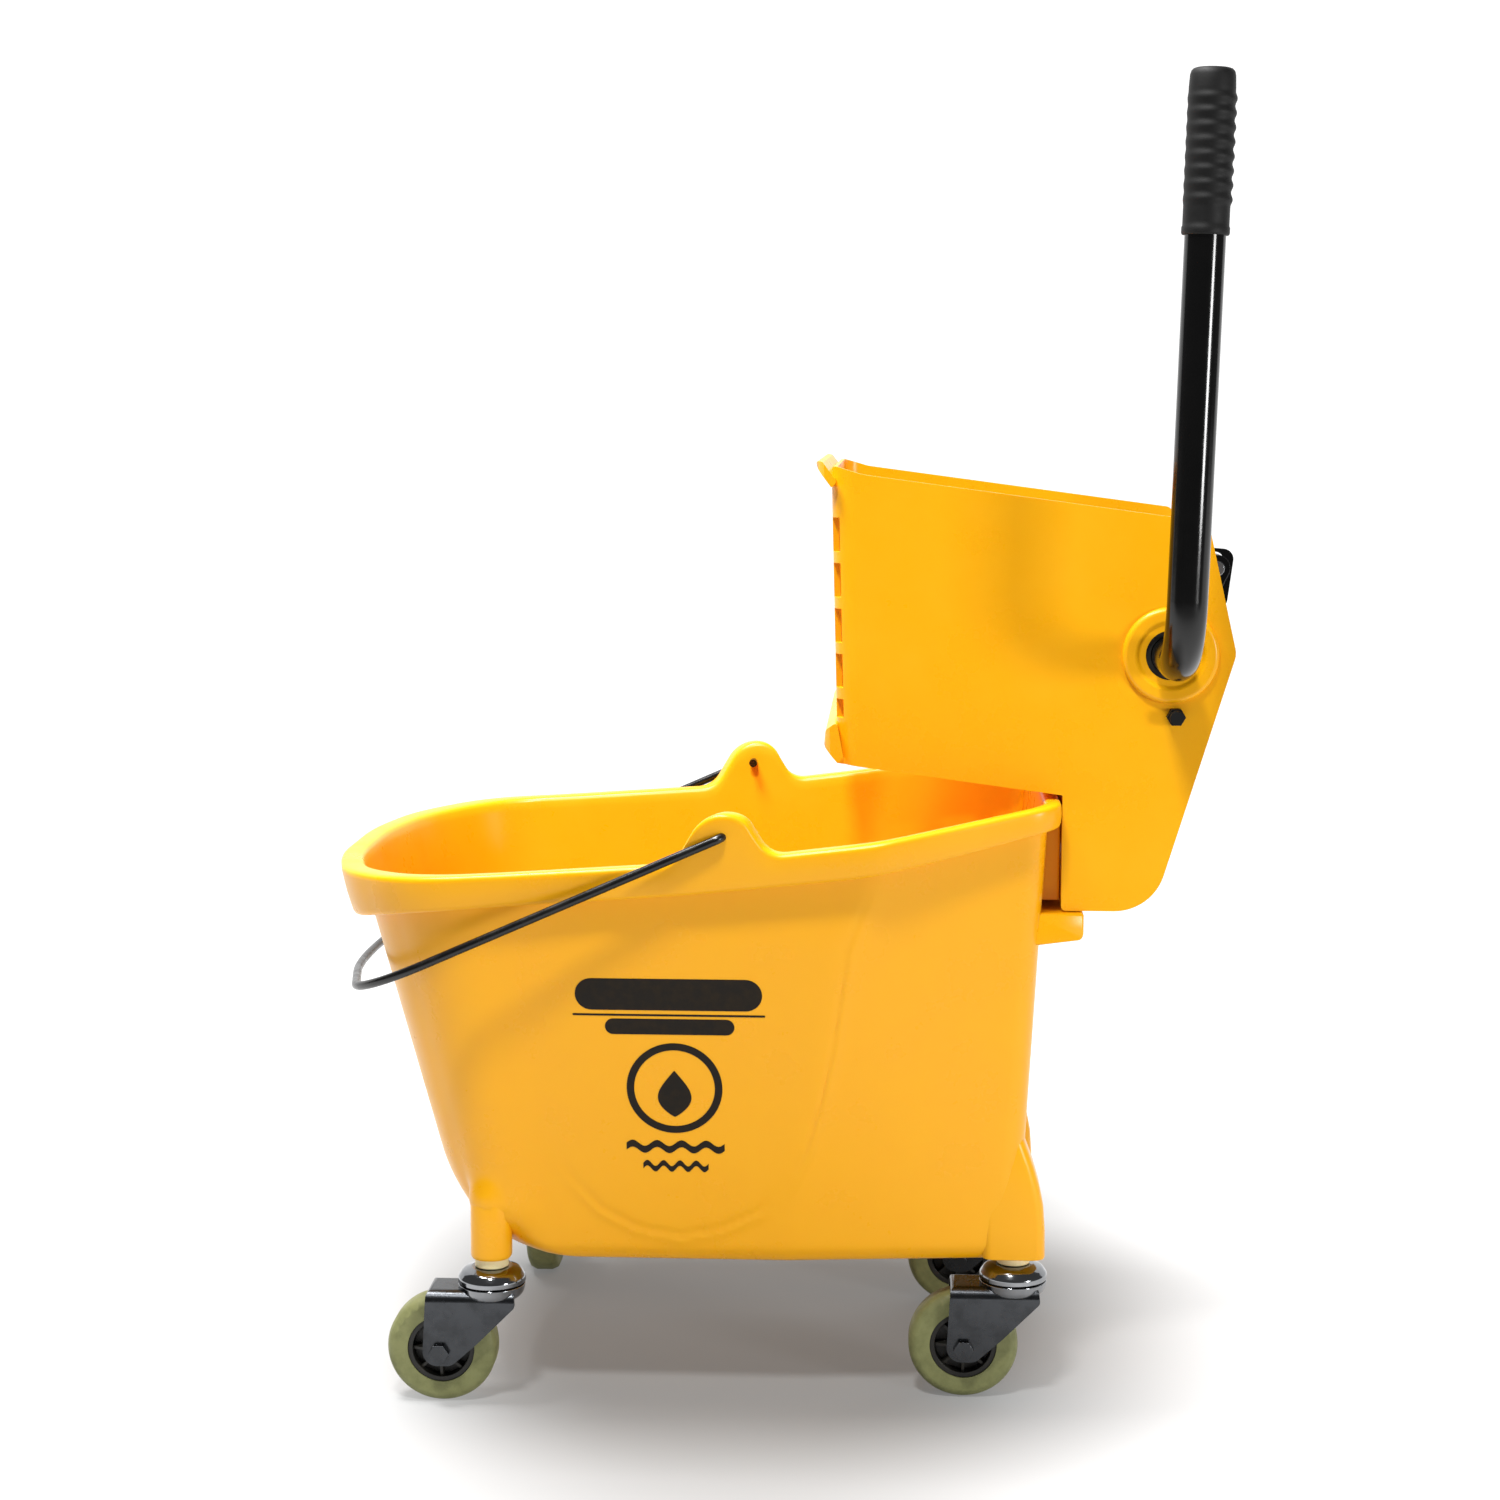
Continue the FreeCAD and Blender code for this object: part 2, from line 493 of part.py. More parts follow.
def shaft_bush(side):
    """Flanged nylon bush between the housing and the turning shaft."""
    bore = TUBE_R + 0.08
    sleeve = rod_y(SHAFT, PANEL_IN, PANEL_OUT + 1, HOLE_R).cut(rod_y(SHAFT, 0, 200, bore))
    flange = rod_y(SHAFT, PANEL_IN - 2.5, PANEL_IN, 21.0).cut(rod_y(SHAFT, 0, 200, bore))
    bush = fused([sleeve, flange])
    return bush if side > 0 else mirrored(bush)


def lever_point(z):
    return vec(SHAFT[0] + (z - SHAFT[1]) * LEVER_LEAN, LEVER_Y, z)


def lever_tube():
    """One bent tube: the cross shaft through both panels and the upright lever outside the near one."""
    points = [vec(SHAFT[0], TUBE_END, SHAFT[1]), lever_point(SHAFT[1]), lever_point(LEVER_TOP)]
    path = bent_wire(points, [TUBE_BEND])
    return swept(path, TUBE_R).cut(swept(path, TUBE_R - TUBE_WALL))


def lever_grip():
    """Closed-ended grip with raised finger ribs."""
    low, high = lever_point(GRIP_LOW), lever_point(GRIP_TOP)
    axis = (high - low).normalize()
    solids = [Part.makeCylinder(GRIP_R, GRIP_TOP - GRIP_LOW - 4, low, axis),
              Part.makeCone(GRIP_R, GRIP_R - 3.0, 4, low + axis * (GRIP_TOP - GRIP_LOW - 4), axis)]
    for i in range(8):
        solids.append(Part.makeCylinder(GRIP_R + 0.9, 3.2, low + axis * (18 + i * 8.0), axis))
    return fused(solids).cut(Part.makeCylinder(TUBE_R, LEVER_TOP - GRIP_LOW, low - axis * 0.2, axis))


def crank(side):
    """Flat arm welded to the shaft, with the pin that drives the yoke."""
    dx, dz = CRANK_PIN[0] - SHAFT[0], CRANK_PIN[1] - SHAFT[1]
    length = math.hypot(dx, dz)
    ux, uz = dx / length, dz / length
    low, high = CRANK_Y - CRANK_T / 2, CRANK_Y + CRANK_T / 2
    corners = [vec(SHAFT[0] - uz * 14, low, SHAFT[1] + ux * 14), vec(CRANK_PIN[0] - uz * 9, low, CRANK_PIN[1] + ux * 9),
               vec(CRANK_PIN[0] + uz * 9, low, CRANK_PIN[1] - ux * 9), vec(SHAFT[0] + uz * 14, low, SHAFT[1] - ux * 14)]
    bar = Part.Face(Part.makePolygon(corners + corners[:1])).extrude(vec(0, CRANK_T, 0))
    arm = fused([bar, rod_y(SHAFT, low, high, 19.0), rod_y(CRANK_PIN, low, high, 9.0)])
    arm = arm.cut(rod_y(SHAFT, 0, 200, TUBE_R)).cut(rod_y(CRANK_PIN, 0, 200, PIN_R))
    return arm if side > 0 else mirrored(arm)


def crank_pin(side):
    """Shouldered pin riveted in the crank, with a washer that keeps the yoke on."""
    pin = fused([rod_y(CRANK_PIN, YOKE_Y - YOKE_T / 2 - 3.5, CRANK_Y + CRANK_T / 2 + 2.5, PIN_R),
                 rod_y(CRANK_PIN, YOKE_Y - YOKE_T / 2 - 3.5, YOKE_Y - YOKE_T / 2 - 1.0, PIN_R + 4)])
    return pin if side > 0 else mirrored(pin)


def yoke(side):
    """Steel arm on the press plate with the upright slot that the crank pin runs in."""
    low, high = YOKE_Y - YOKE_T / 2, YOKE_Y + YOKE_T / 2
    back, rise = unleaned(CRANK_PIN)
    mid = back - YOKE_OFFSET
    plate_back = unleaned((PLATE_X + PLATE_T, 500))[0] - 1.5
    half = YOKE_SLOT_HALF + YOKE_WALL
    top, foot = rise + 13.5, rise - 27.0
    outline = [(plate_back, top - 4, 4), (mid + half, top, 7), (mid + half, foot, 7), (mid - half, foot, 8),
               (plate_back + 26, foot + 4, 10), (plate_back, foot - 22, 3)]
    wire = rounded([(*p[:2], p[2]) for p in outline], lambda a, b: leaned(a, b, low))
    arm = Part.Face(wire).extrude(vec(0, YOKE_T, 0))
    slot = [(mid + sx * YOKE_SLOT_HALF, z, YOKE_SLOT_HALF - 0.2) for sx, z in
            ((-1, foot + 5.5), (1, foot + 5.5), (1, top - 3.0), (-1, top - 3.0))]
    arm = arm.cut(Part.Face(rounded(slot, lambda a, b: leaned(a, b, low - 1))).extrude(vec(0, YOKE_T + 2, 0)))
    foot_pad = leaning_block((plate_back - 4, plate_back + 0.2), (low - 12, high), (foot - 20, top - 6))
    arm = fused([arm, foot_pad])
    return arm if side > 0 else mirrored(arm)


def leaned(back, rise, y):
    x, z = tilted(back, rise)
    return vec(x, y, z)


def unleaned(point):
    dx, dz = point[0] - 34, point[1] - 446
    return (dx * math.cos(TILT) - dz * math.sin(TILT), dx * math.sin(TILT) + dz * math.cos(TILT))


def press_plate():
    """Ribbed plate that slides along the floor, with a tongue each side in the guide rails."""
    back = unleaned((PLATE_X, 500))[0]
    skin = leaning_block((back, back + PLATE_SKIN), (-PLATE_HALF, PLATE_HALF), (3.0, 178))
    solids = [skin]
    for y in (-PLATE_HALF, -58, -2, 54, PLATE_HALF - PLATE_SKIN):
        solids.append(leaning_block((back, back + PLATE_T - 6), (y, y + PLATE_SKIN), (3.0, 178)))
    for rise in (3.0, 59, 116, 174):
        solids.append(leaning_block((back, back + PLATE_T - 6), (-PLATE_HALF, PLATE_HALF), (rise, rise + PLATE_SKIN)))
    for side in (-1, 1):
        reach = sorted((side * (PLATE_HALF - 2), side * (PANEL_IN - 1)))
        solids.append(leaning_block((back, back + PLATE_T - 4), reach, (RAIL_MID - 4, RAIL_MID + 4)))
        pad = sorted((side * (YOKE_Y - YOKE_T / 2 - 14), side * (YOKE_Y + YOKE_T / 2 + 2)))
        solids.append(leaning_block((back, back + 5.5), pad, (70, 160)))
    plate = fused(solids)
    ribs = [leaning_block((back - 4, back), (y, y + 5), (12, 170)) for y in range(-105, 104, 14)]
    return fused([plate] + ribs)


def tie_rod():
    return rod_y(TIE, -PANEL_OUT - 11, PANEL_OUT + 11, TIE_R)


def tie_nuts():
    """A domed nut on each end of the tie rod."""
    nuts = []
    for side in (-1, 1):
        nut = fused([hexagon(TIE, PANEL_OUT, PANEL_OUT + 7, 6.2), rod_y(TIE, PANEL_OUT + 7, PANEL_OUT + 12.5, 4.6)])
        nut = nut.cut(rod_y(TIE, 0, PANEL_OUT + 11, TIE_R))
        nuts.append(nut if side > 0 else mirrored(nut))
    return Part.makeCompound(nuts)


def return_spring(side):
    """Torsion spring round the shaft: one leg hooks in front of the crank, the other behind the tie rod."""
    height = SPRING_TURNS * SPRING_PITCH
    path = Part.makeHelix(SPRING_PITCH, height, SPRING_R)
    ring = Part.Wire(Part.makeCircle(SPRING_WIRE_R, vec(SPRING_R, 0, 0), ALONG))
    coil = Part.Solid(Part.Wire(path).makePipeShell([ring], True, True))
    coil.rotate(vec(0, 0, 0), vec(1, 0, 0), -90)
    coil.translate(vec(SHAFT[0], SPRING_Y, SHAFT[1]))
    first = vec(SHAFT[0] + SPRING_R, SPRING_Y, SHAFT[1])
    corner = vec(SPRING_HOOK[0], SPRING_Y, SPRING_HOOK[1])
    last = vec(SHAFT[0] + SPRING_R, SPRING_Y + height, SHAFT[1])
    foot = vec(TIE[0] + TIE_R + SPRING_WIRE_R + 0.4, SPRING_Y + height, TIE[1] - 8)
    shapes = [coil, rod(first, corner, SPRING_WIRE_R), rod(last, foot, SPRING_WIRE_R),
              rod(corner, corner - vec(0, SPRING_Y - CRANK_Y + CRANK_T / 2, 0), SPRING_WIRE_R)]
    shapes += [Part.makeSphere(SPRING_WIRE_R, point) for point in (first, corner, last)]
    spring = fused(shapes)
    return spring if side > 0 else mirrored(spring)


def shaft_cap():
    """Push-on cap that keeps the shaft in the far panel."""
    outer = rod_y(SHAFT, PANEL_OUT + BOSS_H + 1.3, 146, TUBE_R + 2.5)
    return outer.cut(rod_y(SHAFT, 0, 142, TUBE_R))


def pieces():
    made = {"bucket_tub": bucket_tub(), "bail_wire": bail_wire(), "wringer_housing": wringer_housing(),
            "press_plate": press_plate(), "lever_tube": lever_tube(), "lever_grip": lever_grip(),
            "tie_rod": tie_rod(), "tie_rod_nuts": tie_nuts(), "shaft_cap": shaft_cap()}
    for name, side in (("near", -1), ("far", 1)):
        made["shaft_bush_" + name] = shaft_bush(side)
        made["crank_" + name] = crank(side)
        made["crank_pin_" + name] = crank_pin(side)
        made["yoke_" + name] = yoke(side)
        made["return_spring_" + name] = return_spring(side)
    made.update(casters())
    return made


def main():
    os.makedirs("parts", exist_ok=True)
    for name, shape in pieces().items():
        shape = shape.translated(vec(-BOX_MID_X, -BOX_MID_Y, 0))
        if not shape.isValid() or shape.Volume <= 0:
            print("not sound:", name, shape.Volume)
        shape.exportStep("parts/" + name + ".step")


main()
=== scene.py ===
import json
import math
import bmesh
import bpy
from mathutils import Matrix, Vector


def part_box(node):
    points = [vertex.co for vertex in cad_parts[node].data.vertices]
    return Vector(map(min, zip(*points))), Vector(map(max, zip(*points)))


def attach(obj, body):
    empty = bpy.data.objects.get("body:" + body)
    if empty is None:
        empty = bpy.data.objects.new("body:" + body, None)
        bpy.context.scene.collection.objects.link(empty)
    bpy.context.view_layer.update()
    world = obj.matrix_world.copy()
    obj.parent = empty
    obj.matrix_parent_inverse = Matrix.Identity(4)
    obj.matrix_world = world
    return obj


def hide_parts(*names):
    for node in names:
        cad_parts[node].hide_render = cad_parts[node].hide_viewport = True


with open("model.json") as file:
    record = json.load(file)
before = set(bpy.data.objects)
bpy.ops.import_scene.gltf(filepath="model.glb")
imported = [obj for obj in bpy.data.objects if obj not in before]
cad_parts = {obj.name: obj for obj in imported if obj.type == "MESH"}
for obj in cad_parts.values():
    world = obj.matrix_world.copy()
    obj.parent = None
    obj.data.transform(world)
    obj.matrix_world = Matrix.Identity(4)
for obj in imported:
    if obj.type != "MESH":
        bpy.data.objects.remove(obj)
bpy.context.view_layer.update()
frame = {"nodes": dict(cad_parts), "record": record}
cad = frame["nodes"]

# the bucket's own millimetres run from its middle plane and the lever shaft; this takes them into the frame
shaftLow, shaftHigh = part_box("shaft_bush_near")
middle = (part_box("bucket_tub")[0].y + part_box("bucket_tub")[1].y) / 2
shaftAcross = 0.252  # the lever shaft's X in the bucket's own measure
shift = Vector(((shaftLow.x + shaftHigh.x) / 2 - shaftAcross, middle, 0.0))
print("frame loaded, shift", shift)


def at(x, y, z):
    return Vector((x, y, z)) / 1000 + shift


def lerp(a, b, t):
    return a + (b - a) * t


def smooth(low, high, x):
    t = min(max((x - low) / (high - low), 0.0), 1.0)
    return t * t * (3 - 2 * t)


# nodes and materials

def linear(hexCode):  # sRGB hex to linear colour
    parts = [int(hexCode[i:i + 2], 16) / 255 for i in (1, 3, 5)]
    return tuple(p / 12.92 if p <= 0.04045 else ((p + 0.055) / 1.055) ** 2.4 for p in parts) + (1.0,)


def addNode(tree, kind, inputs=None, **settings):  # a node with its settings, and its links or values
    made = tree.nodes.new(kind)
    for name, value in settings.items():
        setattr(made, name, value)
    for key, value in (inputs or {}).items():
        if isinstance(value, bpy.types.NodeSocket):
            tree.links.new(value, made.inputs[key])
        else:
            made.inputs[key].default_value = value
    return made


def makeFinish(name, look):
    # look: base and worn colours, grain and wear sizes in mm, roughness from/to, bump height in mm
    material = bpy.data.materials.new(name)
    material.use_nodes = True
    tree = material.node_tree
    tree.nodes.clear()
    place = addNode(tree, "ShaderNodeTexCoord").outputs["Object"]
    grain = addNode(tree, "ShaderNodeTexNoise", {"Vector": place, "Scale": 1000 / look["grain"], "Detail": 3.0})
    wear = addNode(tree, "ShaderNodeTexNoise", {"Vector": place, "Scale": 1000 / look["wear"], "Detail": 6.0,
                                                "Roughness": 0.62})
    patch = addNode(tree, "ShaderNodeMapRange", {"Value": wear.outputs["Fac"], "From Min": 0.42, "From Max": 0.72,
                                                 "To Min": 0.0, "To Max": look["worn"]})
    colour = addNode(tree, "ShaderNodeMix", {"Factor": patch.outputs["Result"], 6: linear(look["base"]),
                                             7: linear(look["faded"])}, data_type="RGBA")
    rough = addNode(tree, "ShaderNodeMapRange", {"Value": wear.outputs["Fac"], "From Min": 0.3, "From Max": 0.7,
                                                 "To Min": look["rough"][0], "To Max": look["rough"][1]})
    height = grain.outputs["Fac"]
    if "brushed" in look:  # fine lines along one axis
        lines = addNode(tree, "ShaderNodeMapping", {"Vector": place, "Scale": look["brushed"]})
        streak = addNode(tree, "ShaderNodeTexNoise", {"Vector": lines.outputs["Vector"], "Scale": 1.0, "Detail": 4.0})
        height = addNode(tree, "ShaderNodeMath", {0: height, 1: streak.outputs["Fac"]}, operation="ADD").outputs[0]
    bump = addNode(tree, "ShaderNodeBump", {"Height": height, "Strength": 0.35, "Distance": look["bump"] / 1000})
    shader = addNode(tree, "ShaderNodeBsdfPrincipled", {
        "Base Color": colour.outputs[2], "Roughness": rough.outputs["Result"], "Normal": bump.outputs["Normal"],
        "Metallic": look.get("metallic", 0.0), **look.get("more", {})})
    addNode(tree, "ShaderNodeOutputMaterial", {"Surface": shader.outputs["BSDF"]})
    return material


looks = {
    # moulded polyethylene: waxy sheen, faint orange peel, light scuffing
    "mouldedPolyethylene": dict(base="#EEA808", faded="#F2B010", grain=1.6, wear=46, worn=0.3, rough=(0.24, 0.36),
                                bump=0.05, more={"Specular IOR Level": 0.3, "Subsurface Weight": 0.08,
                                                 "Subsurface Scale": 0.004, "Subsurface Radius": (1.0, 0.5, 0.08)}),
    # stove enamel on tube: deep black, near-mirror, slight ripple
    "blackStoveEnamel": dict(base="#050505", faded="#0D0C0B", grain=5, wear=30, worn=0.25, rough=(0.09, 0.17),
                             bump=0.04, more={"IOR": 1.45}),
    # soft PVC grip: matt, fine stipple that dulls the light
    "softVinyl": dict(base="#040404", faded="#0A0908", grain=0.7, wear=18, worn=0.4, rough=(0.5, 0.66), bump=0.08,
                      more={"Specular IOR Level": 0.3}),
    # coated wire: black with small rubs
    "coatedWire": dict(base="#060606", faded="#1A1713", grain=1.2, wear=14, worn=0.4, rough=(0.2, 0.34), bump=0.04),
    # zinc plated pressed steel: dull blue-grey with cloudy patches
    "zincPlate": dict(base="#47494C", faded="#303031", grain=0.9, wear=15, worn=0.5, rough=(0.2, 0.34), bump=0.03,
                      metallic=1.0, brushed=(90, 90, 900)),
    # polished chrome plate on the swivel housings: mirror with faint smears
    "chromePlate": dict(base="#8E9093", faded="#6E7073", grain=2, wear=16, worn=0.5, rough=(0.07, 0.16), bump=0.01,
                        metallic=1.0),
    # ground steel: pins, rod and balls
    "groundSteel": dict(base="#A5A7AA", faded="#77736C", grain=0.8, wear=8, worn=0.6, rough=(0.2, 0.36), bump=0.03,
                        metallic=1.0, brushed=(900, 60, 900)),
    # oiled spring wire: darker, greasy
    "springWire": dict(base="#77787A", faded="#4A4640", grain=0.7, wear=6, worn=0.6, rough=(0.25, 0.4), bump=0.03,
                       metallic=1.0),
    # non-marking grey-green rubber tyre: dusty, matt
    "greyRubber": dict(base="#7D7F50", faded="#66683F", grain=0.8, wear=11, worn=0.8, rough=(0.5, 0.7), bump=0.1),
    # glass-filled nylon hub: dark, slightly speckled
    "filledNylon": dict(base="#14130F", faded="#2A261D", grain=0.7, wear=7, worn=0.5, rough=(0.4, 0.58), bump=0.06),
    # natural nylon: cream, slightly see-through
    "naturalNylon": dict(base="#E7D6A4", faded="#D2BE86", grain=1.2, wear=10, worn=0.6, rough=(0.35, 0.5), bump=0.04,
                         more={"Subsurface Weight": 0.15, "Subsurface Scale": 0.002}),
    # screen-printed ink: brown-black film
    "screenInk": dict(base="#17110A", faded="#2E2210", grain=0.9, wear=7, worn=0.5, rough=(0.5, 0.62), bump=0.03,
                      more={"Specular IOR Level": 0.2}),
}
finishes = {name: makeFinish(name, look) for name, look in looks.items()}
slotFinish = {"yellow_plastic": "mouldedPolyethylene", "chrome": "chromePlate", "ball_steel": "groundSteel",
              "zinc_steel": "zincPlate", "cream_nylon": "naturalNylon", "olive_rubber": "greyRubber",
              "dark_plastic": "filledNylon", "black_wire": "coatedWire", "spring_steel": "springWire",
              "black_enamel": "blackStoveEnamel", "black_grip": "softVinyl", "black_cap": "softVinyl"}
slotOf = {part["node"]: part["material_slot"] for part in frame["record"]["subparts"]}
bodyOf = {node: body for body, members in frame["record"]["behaviour"]["bodies"].items() for node in members}
print("finishes made", len(finishes))


# making and placing pieces

def newPiece(name, mesh, body, slotName, *replaced, finishName=None):
    piece = bpy.data.objects.new(name, mesh)
    bpy.context.scene.collection.objects.link(piece)
    if not mesh.materials:
        mesh.materials.append(finishes[finishName or slotFinish[slotName]])
    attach(piece, body)
    if replaced:
        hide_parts(*replaced)
    return piece


def settled(source, name):  # the object with its modifiers applied, as a plain mesh
    bpy.context.view_layer.update()
    graph = bpy.context.evaluated_depsgraph_get()
    mesh = bpy.data.meshes.new_from_object(source.evaluated_get(graph), depsgraph=graph)
    mesh.name = name
    data = source.data
    bpy.data.objects.remove(source)
    if data.users == 0 and isinstance(data, bpy.types.Mesh):
        bpy.data.meshes.remove(data)
    return mesh


def meshFrom(name, points, faces, angle=35):
    mesh = bpy.data.meshes.new(name)
    mesh.from_pydata([tuple(p) for p in points], [], faces)
    mesh.validate()
    return smoothed(mesh, angle)


def smoothed(mesh, angle=35):
    shape = bmesh.new()
    shape.from_mesh(mesh)
    bmesh.ops.remove_doubles(shape, verts=shape.verts, dist=1e-6)
    bmesh.ops.recalc_face_normals(shape, faces=shape.faces)
    shape.to_mesh(mesh)
    shape.free()
    mesh.shade_smooth()
    mesh.set_sharp_from_angle(angle=math.radians(angle))
    return mesh


def ringedFaces(rows, count, closedEnds=True):  # quads between rows of count points, with a cap at each end
    faces = []
    for row in range(rows - 1):
        for i in range(count):
            j = (i + 1) % count
            faces.append((row * count + i, row * count + j, (row + 1) * count + j, (row + 1) * count + i))
    if closedEnds:
        faces.append(tuple(range(count))[::-1])
        faces.append(tuple((rows - 1) * count + i for i in range(count)))
    return faces


def eased(node, bevel, angle=32):  # a CAD piece with its edges eased as a real one's are
    shape = bmesh.new()
    shape.from_mesh(cad[node].data)
    bmesh.ops.remove_doubles(shape, verts=shape.verts, dist=2e-6)
    bmesh.ops.dissolve_limit(shape, angle_limit=math.radians(0.6), verts=shape.verts, edges=shape.edges)
    mesh = bpy.data.meshes.new(node + "_eased")
    shape.to_mesh(mesh)
    shape.free()
    piece = bpy.data.objects.new("easing", mesh)
    bpy.context.scene.collection.objects.link(piece)
    mesh.shade_smooth()
    mesh.set_sharp_from_angle(angle=math.radians(angle))
    if bevel:
        edge = piece.modifiers.new("edge", "BEVEL")
        edge.width, edge.segments, edge.limit_method = bevel / 1000, 2, "ANGLE"
        edge.angle_limit = math.radians(angle)
        edge.use_clamp_overlap = True
    even = piece.modifiers.new("even", "WEIGHTED_NORMAL")
    even.keep_sharp = True
    made = settled(piece, node + "_eased")
    made.materials.clear()
    return newPiece(node + "_eased", made, bodyOf[node], slotOf[node], node)


# geometry node trees

def newTree(name, *sizes):  # a tree with a geometry in and out, and named sizes
    tree = bpy.data.node_groups.new(name, "GeometryNodeTree")
    tree.interface.new_socket("Geometry", in_out="INPUT", socket_type="NodeSocketGeometry")
    for label, kind in sizes:
        tree.interface.new_socket(label, in_out="INPUT", socket_type=kind)
    tree.interface.new_socket("Geometry", in_out="OUTPUT", socket_type="NodeSocketGeometry")
    return tree, addNode(tree, "NodeGroupInput").outputs


def endTree(tree, geometry, material):
    real = addNode(tree, "GeometryNodeRealizeInstances", {"Geometry": geometry})
    painted = addNode(tree, "GeometryNodeSetMaterial", {"Geometry": real.outputs[0], "Material": material})
    addNode(tree, "NodeGroupOutput", {"Geometry": painted.outputs[0]})


def grown(tree, values, name, base=None, angle=40):  # runs a tree on a base mesh and returns the plain mesh
    holder = bpy.data.objects.new("growing", base or bpy.data.meshes.new("seed"))
    bpy.context.scene.collection.objects.link(holder)
    modifier = holder.modifiers.new("grow", "NODES")
    modifier.node_group = tree
    for item in tree.interface.items_tree:
        if item.in_out == "INPUT" and item.name in values:
            modifier[item.identifier] = values[item.name]
    mesh = settled(holder, name)
    mesh.shade_smooth()
    mesh.set_sharp_from_angle(angle=math.radians(angle))
    return mesh


# round stock bent along a path: the path's corners carry their own bend radius
barTree, barIn = newTree("roundBar", ("Stock Radius", "NodeSocketFloat"), ("Sides", "NodeSocketInt"),
                         ("Bend Steps", "NodeSocketInt"), ("Finish", "NodeSocketMaterial"))
barLine = addNode(barTree, "GeometryNodeMeshToCurve", {"Mesh": barIn["Geometry"]})
barBend = addNode(barTree, "GeometryNodeInputNamedAttribute", {"Name": "bend"}, data_type="FLOAT")
barFillet = addNode(barTree, "GeometryNodeFilletCurve", {"Curve": barLine.outputs[0], "Radius": barBend.outputs[0],
                                                         "Count": barIn["Bend Steps"], "Limit Radius": True},
                    mode="POLY")
barRing = addNode(barTree, "GeometryNodeCurvePrimitiveCircle", {"Resolution": barIn["Sides"],
                                                                "Radius": barIn["Stock Radius"]})
barSkin = addNode(barTree, "GeometryNodeCurveToMesh", {"Curve": barFillet.outputs[0], "Fill Caps": True,
                                                       "Profile Curve": barRing.outputs[0]})
endTree(barTree, barSkin.outputs[0], barIn["Finish"])


def bentBar(name, path, bends, radius, finishName, sides=28, bendSteps=14):
    line = bpy.data.meshes.new("line")
    line.from_pydata([tuple(p) for p in path], [(i, i + 1) for i in range(len(path) - 1)], [])
    bend = line.attributes.new("bend", "FLOAT", "POINT")
    for i, r in enumerate([0.0] + list(bends) + [0.0]):
        bend.data[i].value = r / 1000
    return grown(barTree, {"Stock Radius": radius / 1000, "Sides": sides, "Bend Steps": bendSteps,
                           "Finish": finishes[finishName]}, name, line)


# copies of a small part round a circle, each turned to face outwards
ringTree, ringIn = newTree("ringOfCopies", ("Ring Radius", "NodeSocketFloat"), ("Count", "NodeSocketInt"),
                           ("Finish", "NodeSocketMaterial"))
ringLine = addNode(ringTree, "GeometryNodeMeshCircle", {"Vertices": ringIn["Count"], "Radius": ringIn["Ring Radius"]})
ringStep = addNode(ringTree, "ShaderNodeMath", {0: 2 * math.pi, 1: ringIn["Count"]}, operation="DIVIDE")
ringIndex = addNode(ringTree, "GeometryNodeInputIndex")
ringAngle = addNode(ringTree, "ShaderNodeMath", {0: ringIndex.outputs[0], 1: ringStep.outputs[0]}, operation="MULTIPLY")
ringTurn = addNode(ringTree, "ShaderNodeCombineXYZ", {"Z": ringAngle.outputs[0]})
ringCopies = addNode(ringTree, "GeometryNodeInstanceOnPoints", {
    "Points": ringLine.outputs[0], "Instance": ringIn["Geometry"], "Rotation": ringTurn.outputs[0]})
endTree(ringTree, ringCopies.outputs[0], ringIn["Finish"])

# a plain grip pushed out into finger ridges, which stand higher on the palm's side
gripTree, gripIn = newTree("ridgedGrip", ("Ridge Height", "NodeSocketFloat"), ("Ridges", "NodeSocketInt"),
                           ("First", "NodeSocketFloat"), ("Last", "NodeSocketFloat"), ("Radius", "NodeSocketFloat"),
                           ("Finish", "NodeSocketMaterial"))
gripPlace = addNode(gripTree, "GeometryNodeInputPosition")
gripParts = addNode(gripTree, "ShaderNodeSeparateXYZ", {0: gripPlace.outputs[0]})
gripAlong = addNode(gripTree, "ShaderNodeMapRange", {"Value": gripParts.outputs["Z"], "From Min": gripIn["First"],
                                                     "From Max": gripIn["Last"], "To Min": 0.0, "To Max": 2 * math.pi})
gripCount = addNode(gripTree, "ShaderNodeMath", {0: gripAlong.outputs["Result"], 1: gripIn["Ridges"]},
                    operation="MULTIPLY")
gripCosine = addNode(gripTree, "ShaderNodeMath", {0: gripCount.outputs[0]}, operation="COSINE")
gripWave = addNode(gripTree, "ShaderNodeMapRange", {"Value": gripCosine.outputs[0], "From Min": 1.0,
                                                    "From Max": -1.0, "To Min": 0.0, "To Max": 1.0})
gripPalm = addNode(gripTree, "ShaderNodeMapRange", {"Value": gripParts.outputs["X"], "From Min": -0.014,
                                                    "From Max": 0.014, "To Min": 0.35, "To Max": 1.0})
gripLift = addNode(gripTree, "ShaderNodeMath", {0: gripWave.outputs["Result"], 1: gripPalm.outputs["Result"]},
                   operation="MULTIPLY")
gripShare = addNode(gripTree, "ShaderNodeMath", {0: gripIn["Ridge Height"], 1: gripIn["Radius"]}, operation="DIVIDE")
gripScale = addNode(gripTree, "ShaderNodeMath", {0: gripLift.outputs[0], 1: gripShare.outputs[0]},
                    operation="MULTIPLY")
gripFlat = addNode(gripTree, "ShaderNodeCombineXYZ", {"X": gripParts.outputs["X"], "Y": gripParts.outputs["Y"]})
gripOffset = addNode(gripTree, "ShaderNodeVectorMath", {0: gripFlat.outputs[0], "Scale": gripScale.outputs[0]},
                     operation="SCALE")
gripSkin = addNode(gripTree, "GeometryNodeSetPosition", {"Geometry": gripIn["Geometry"],
                                                         "Offset": gripOffset.outputs[0]})
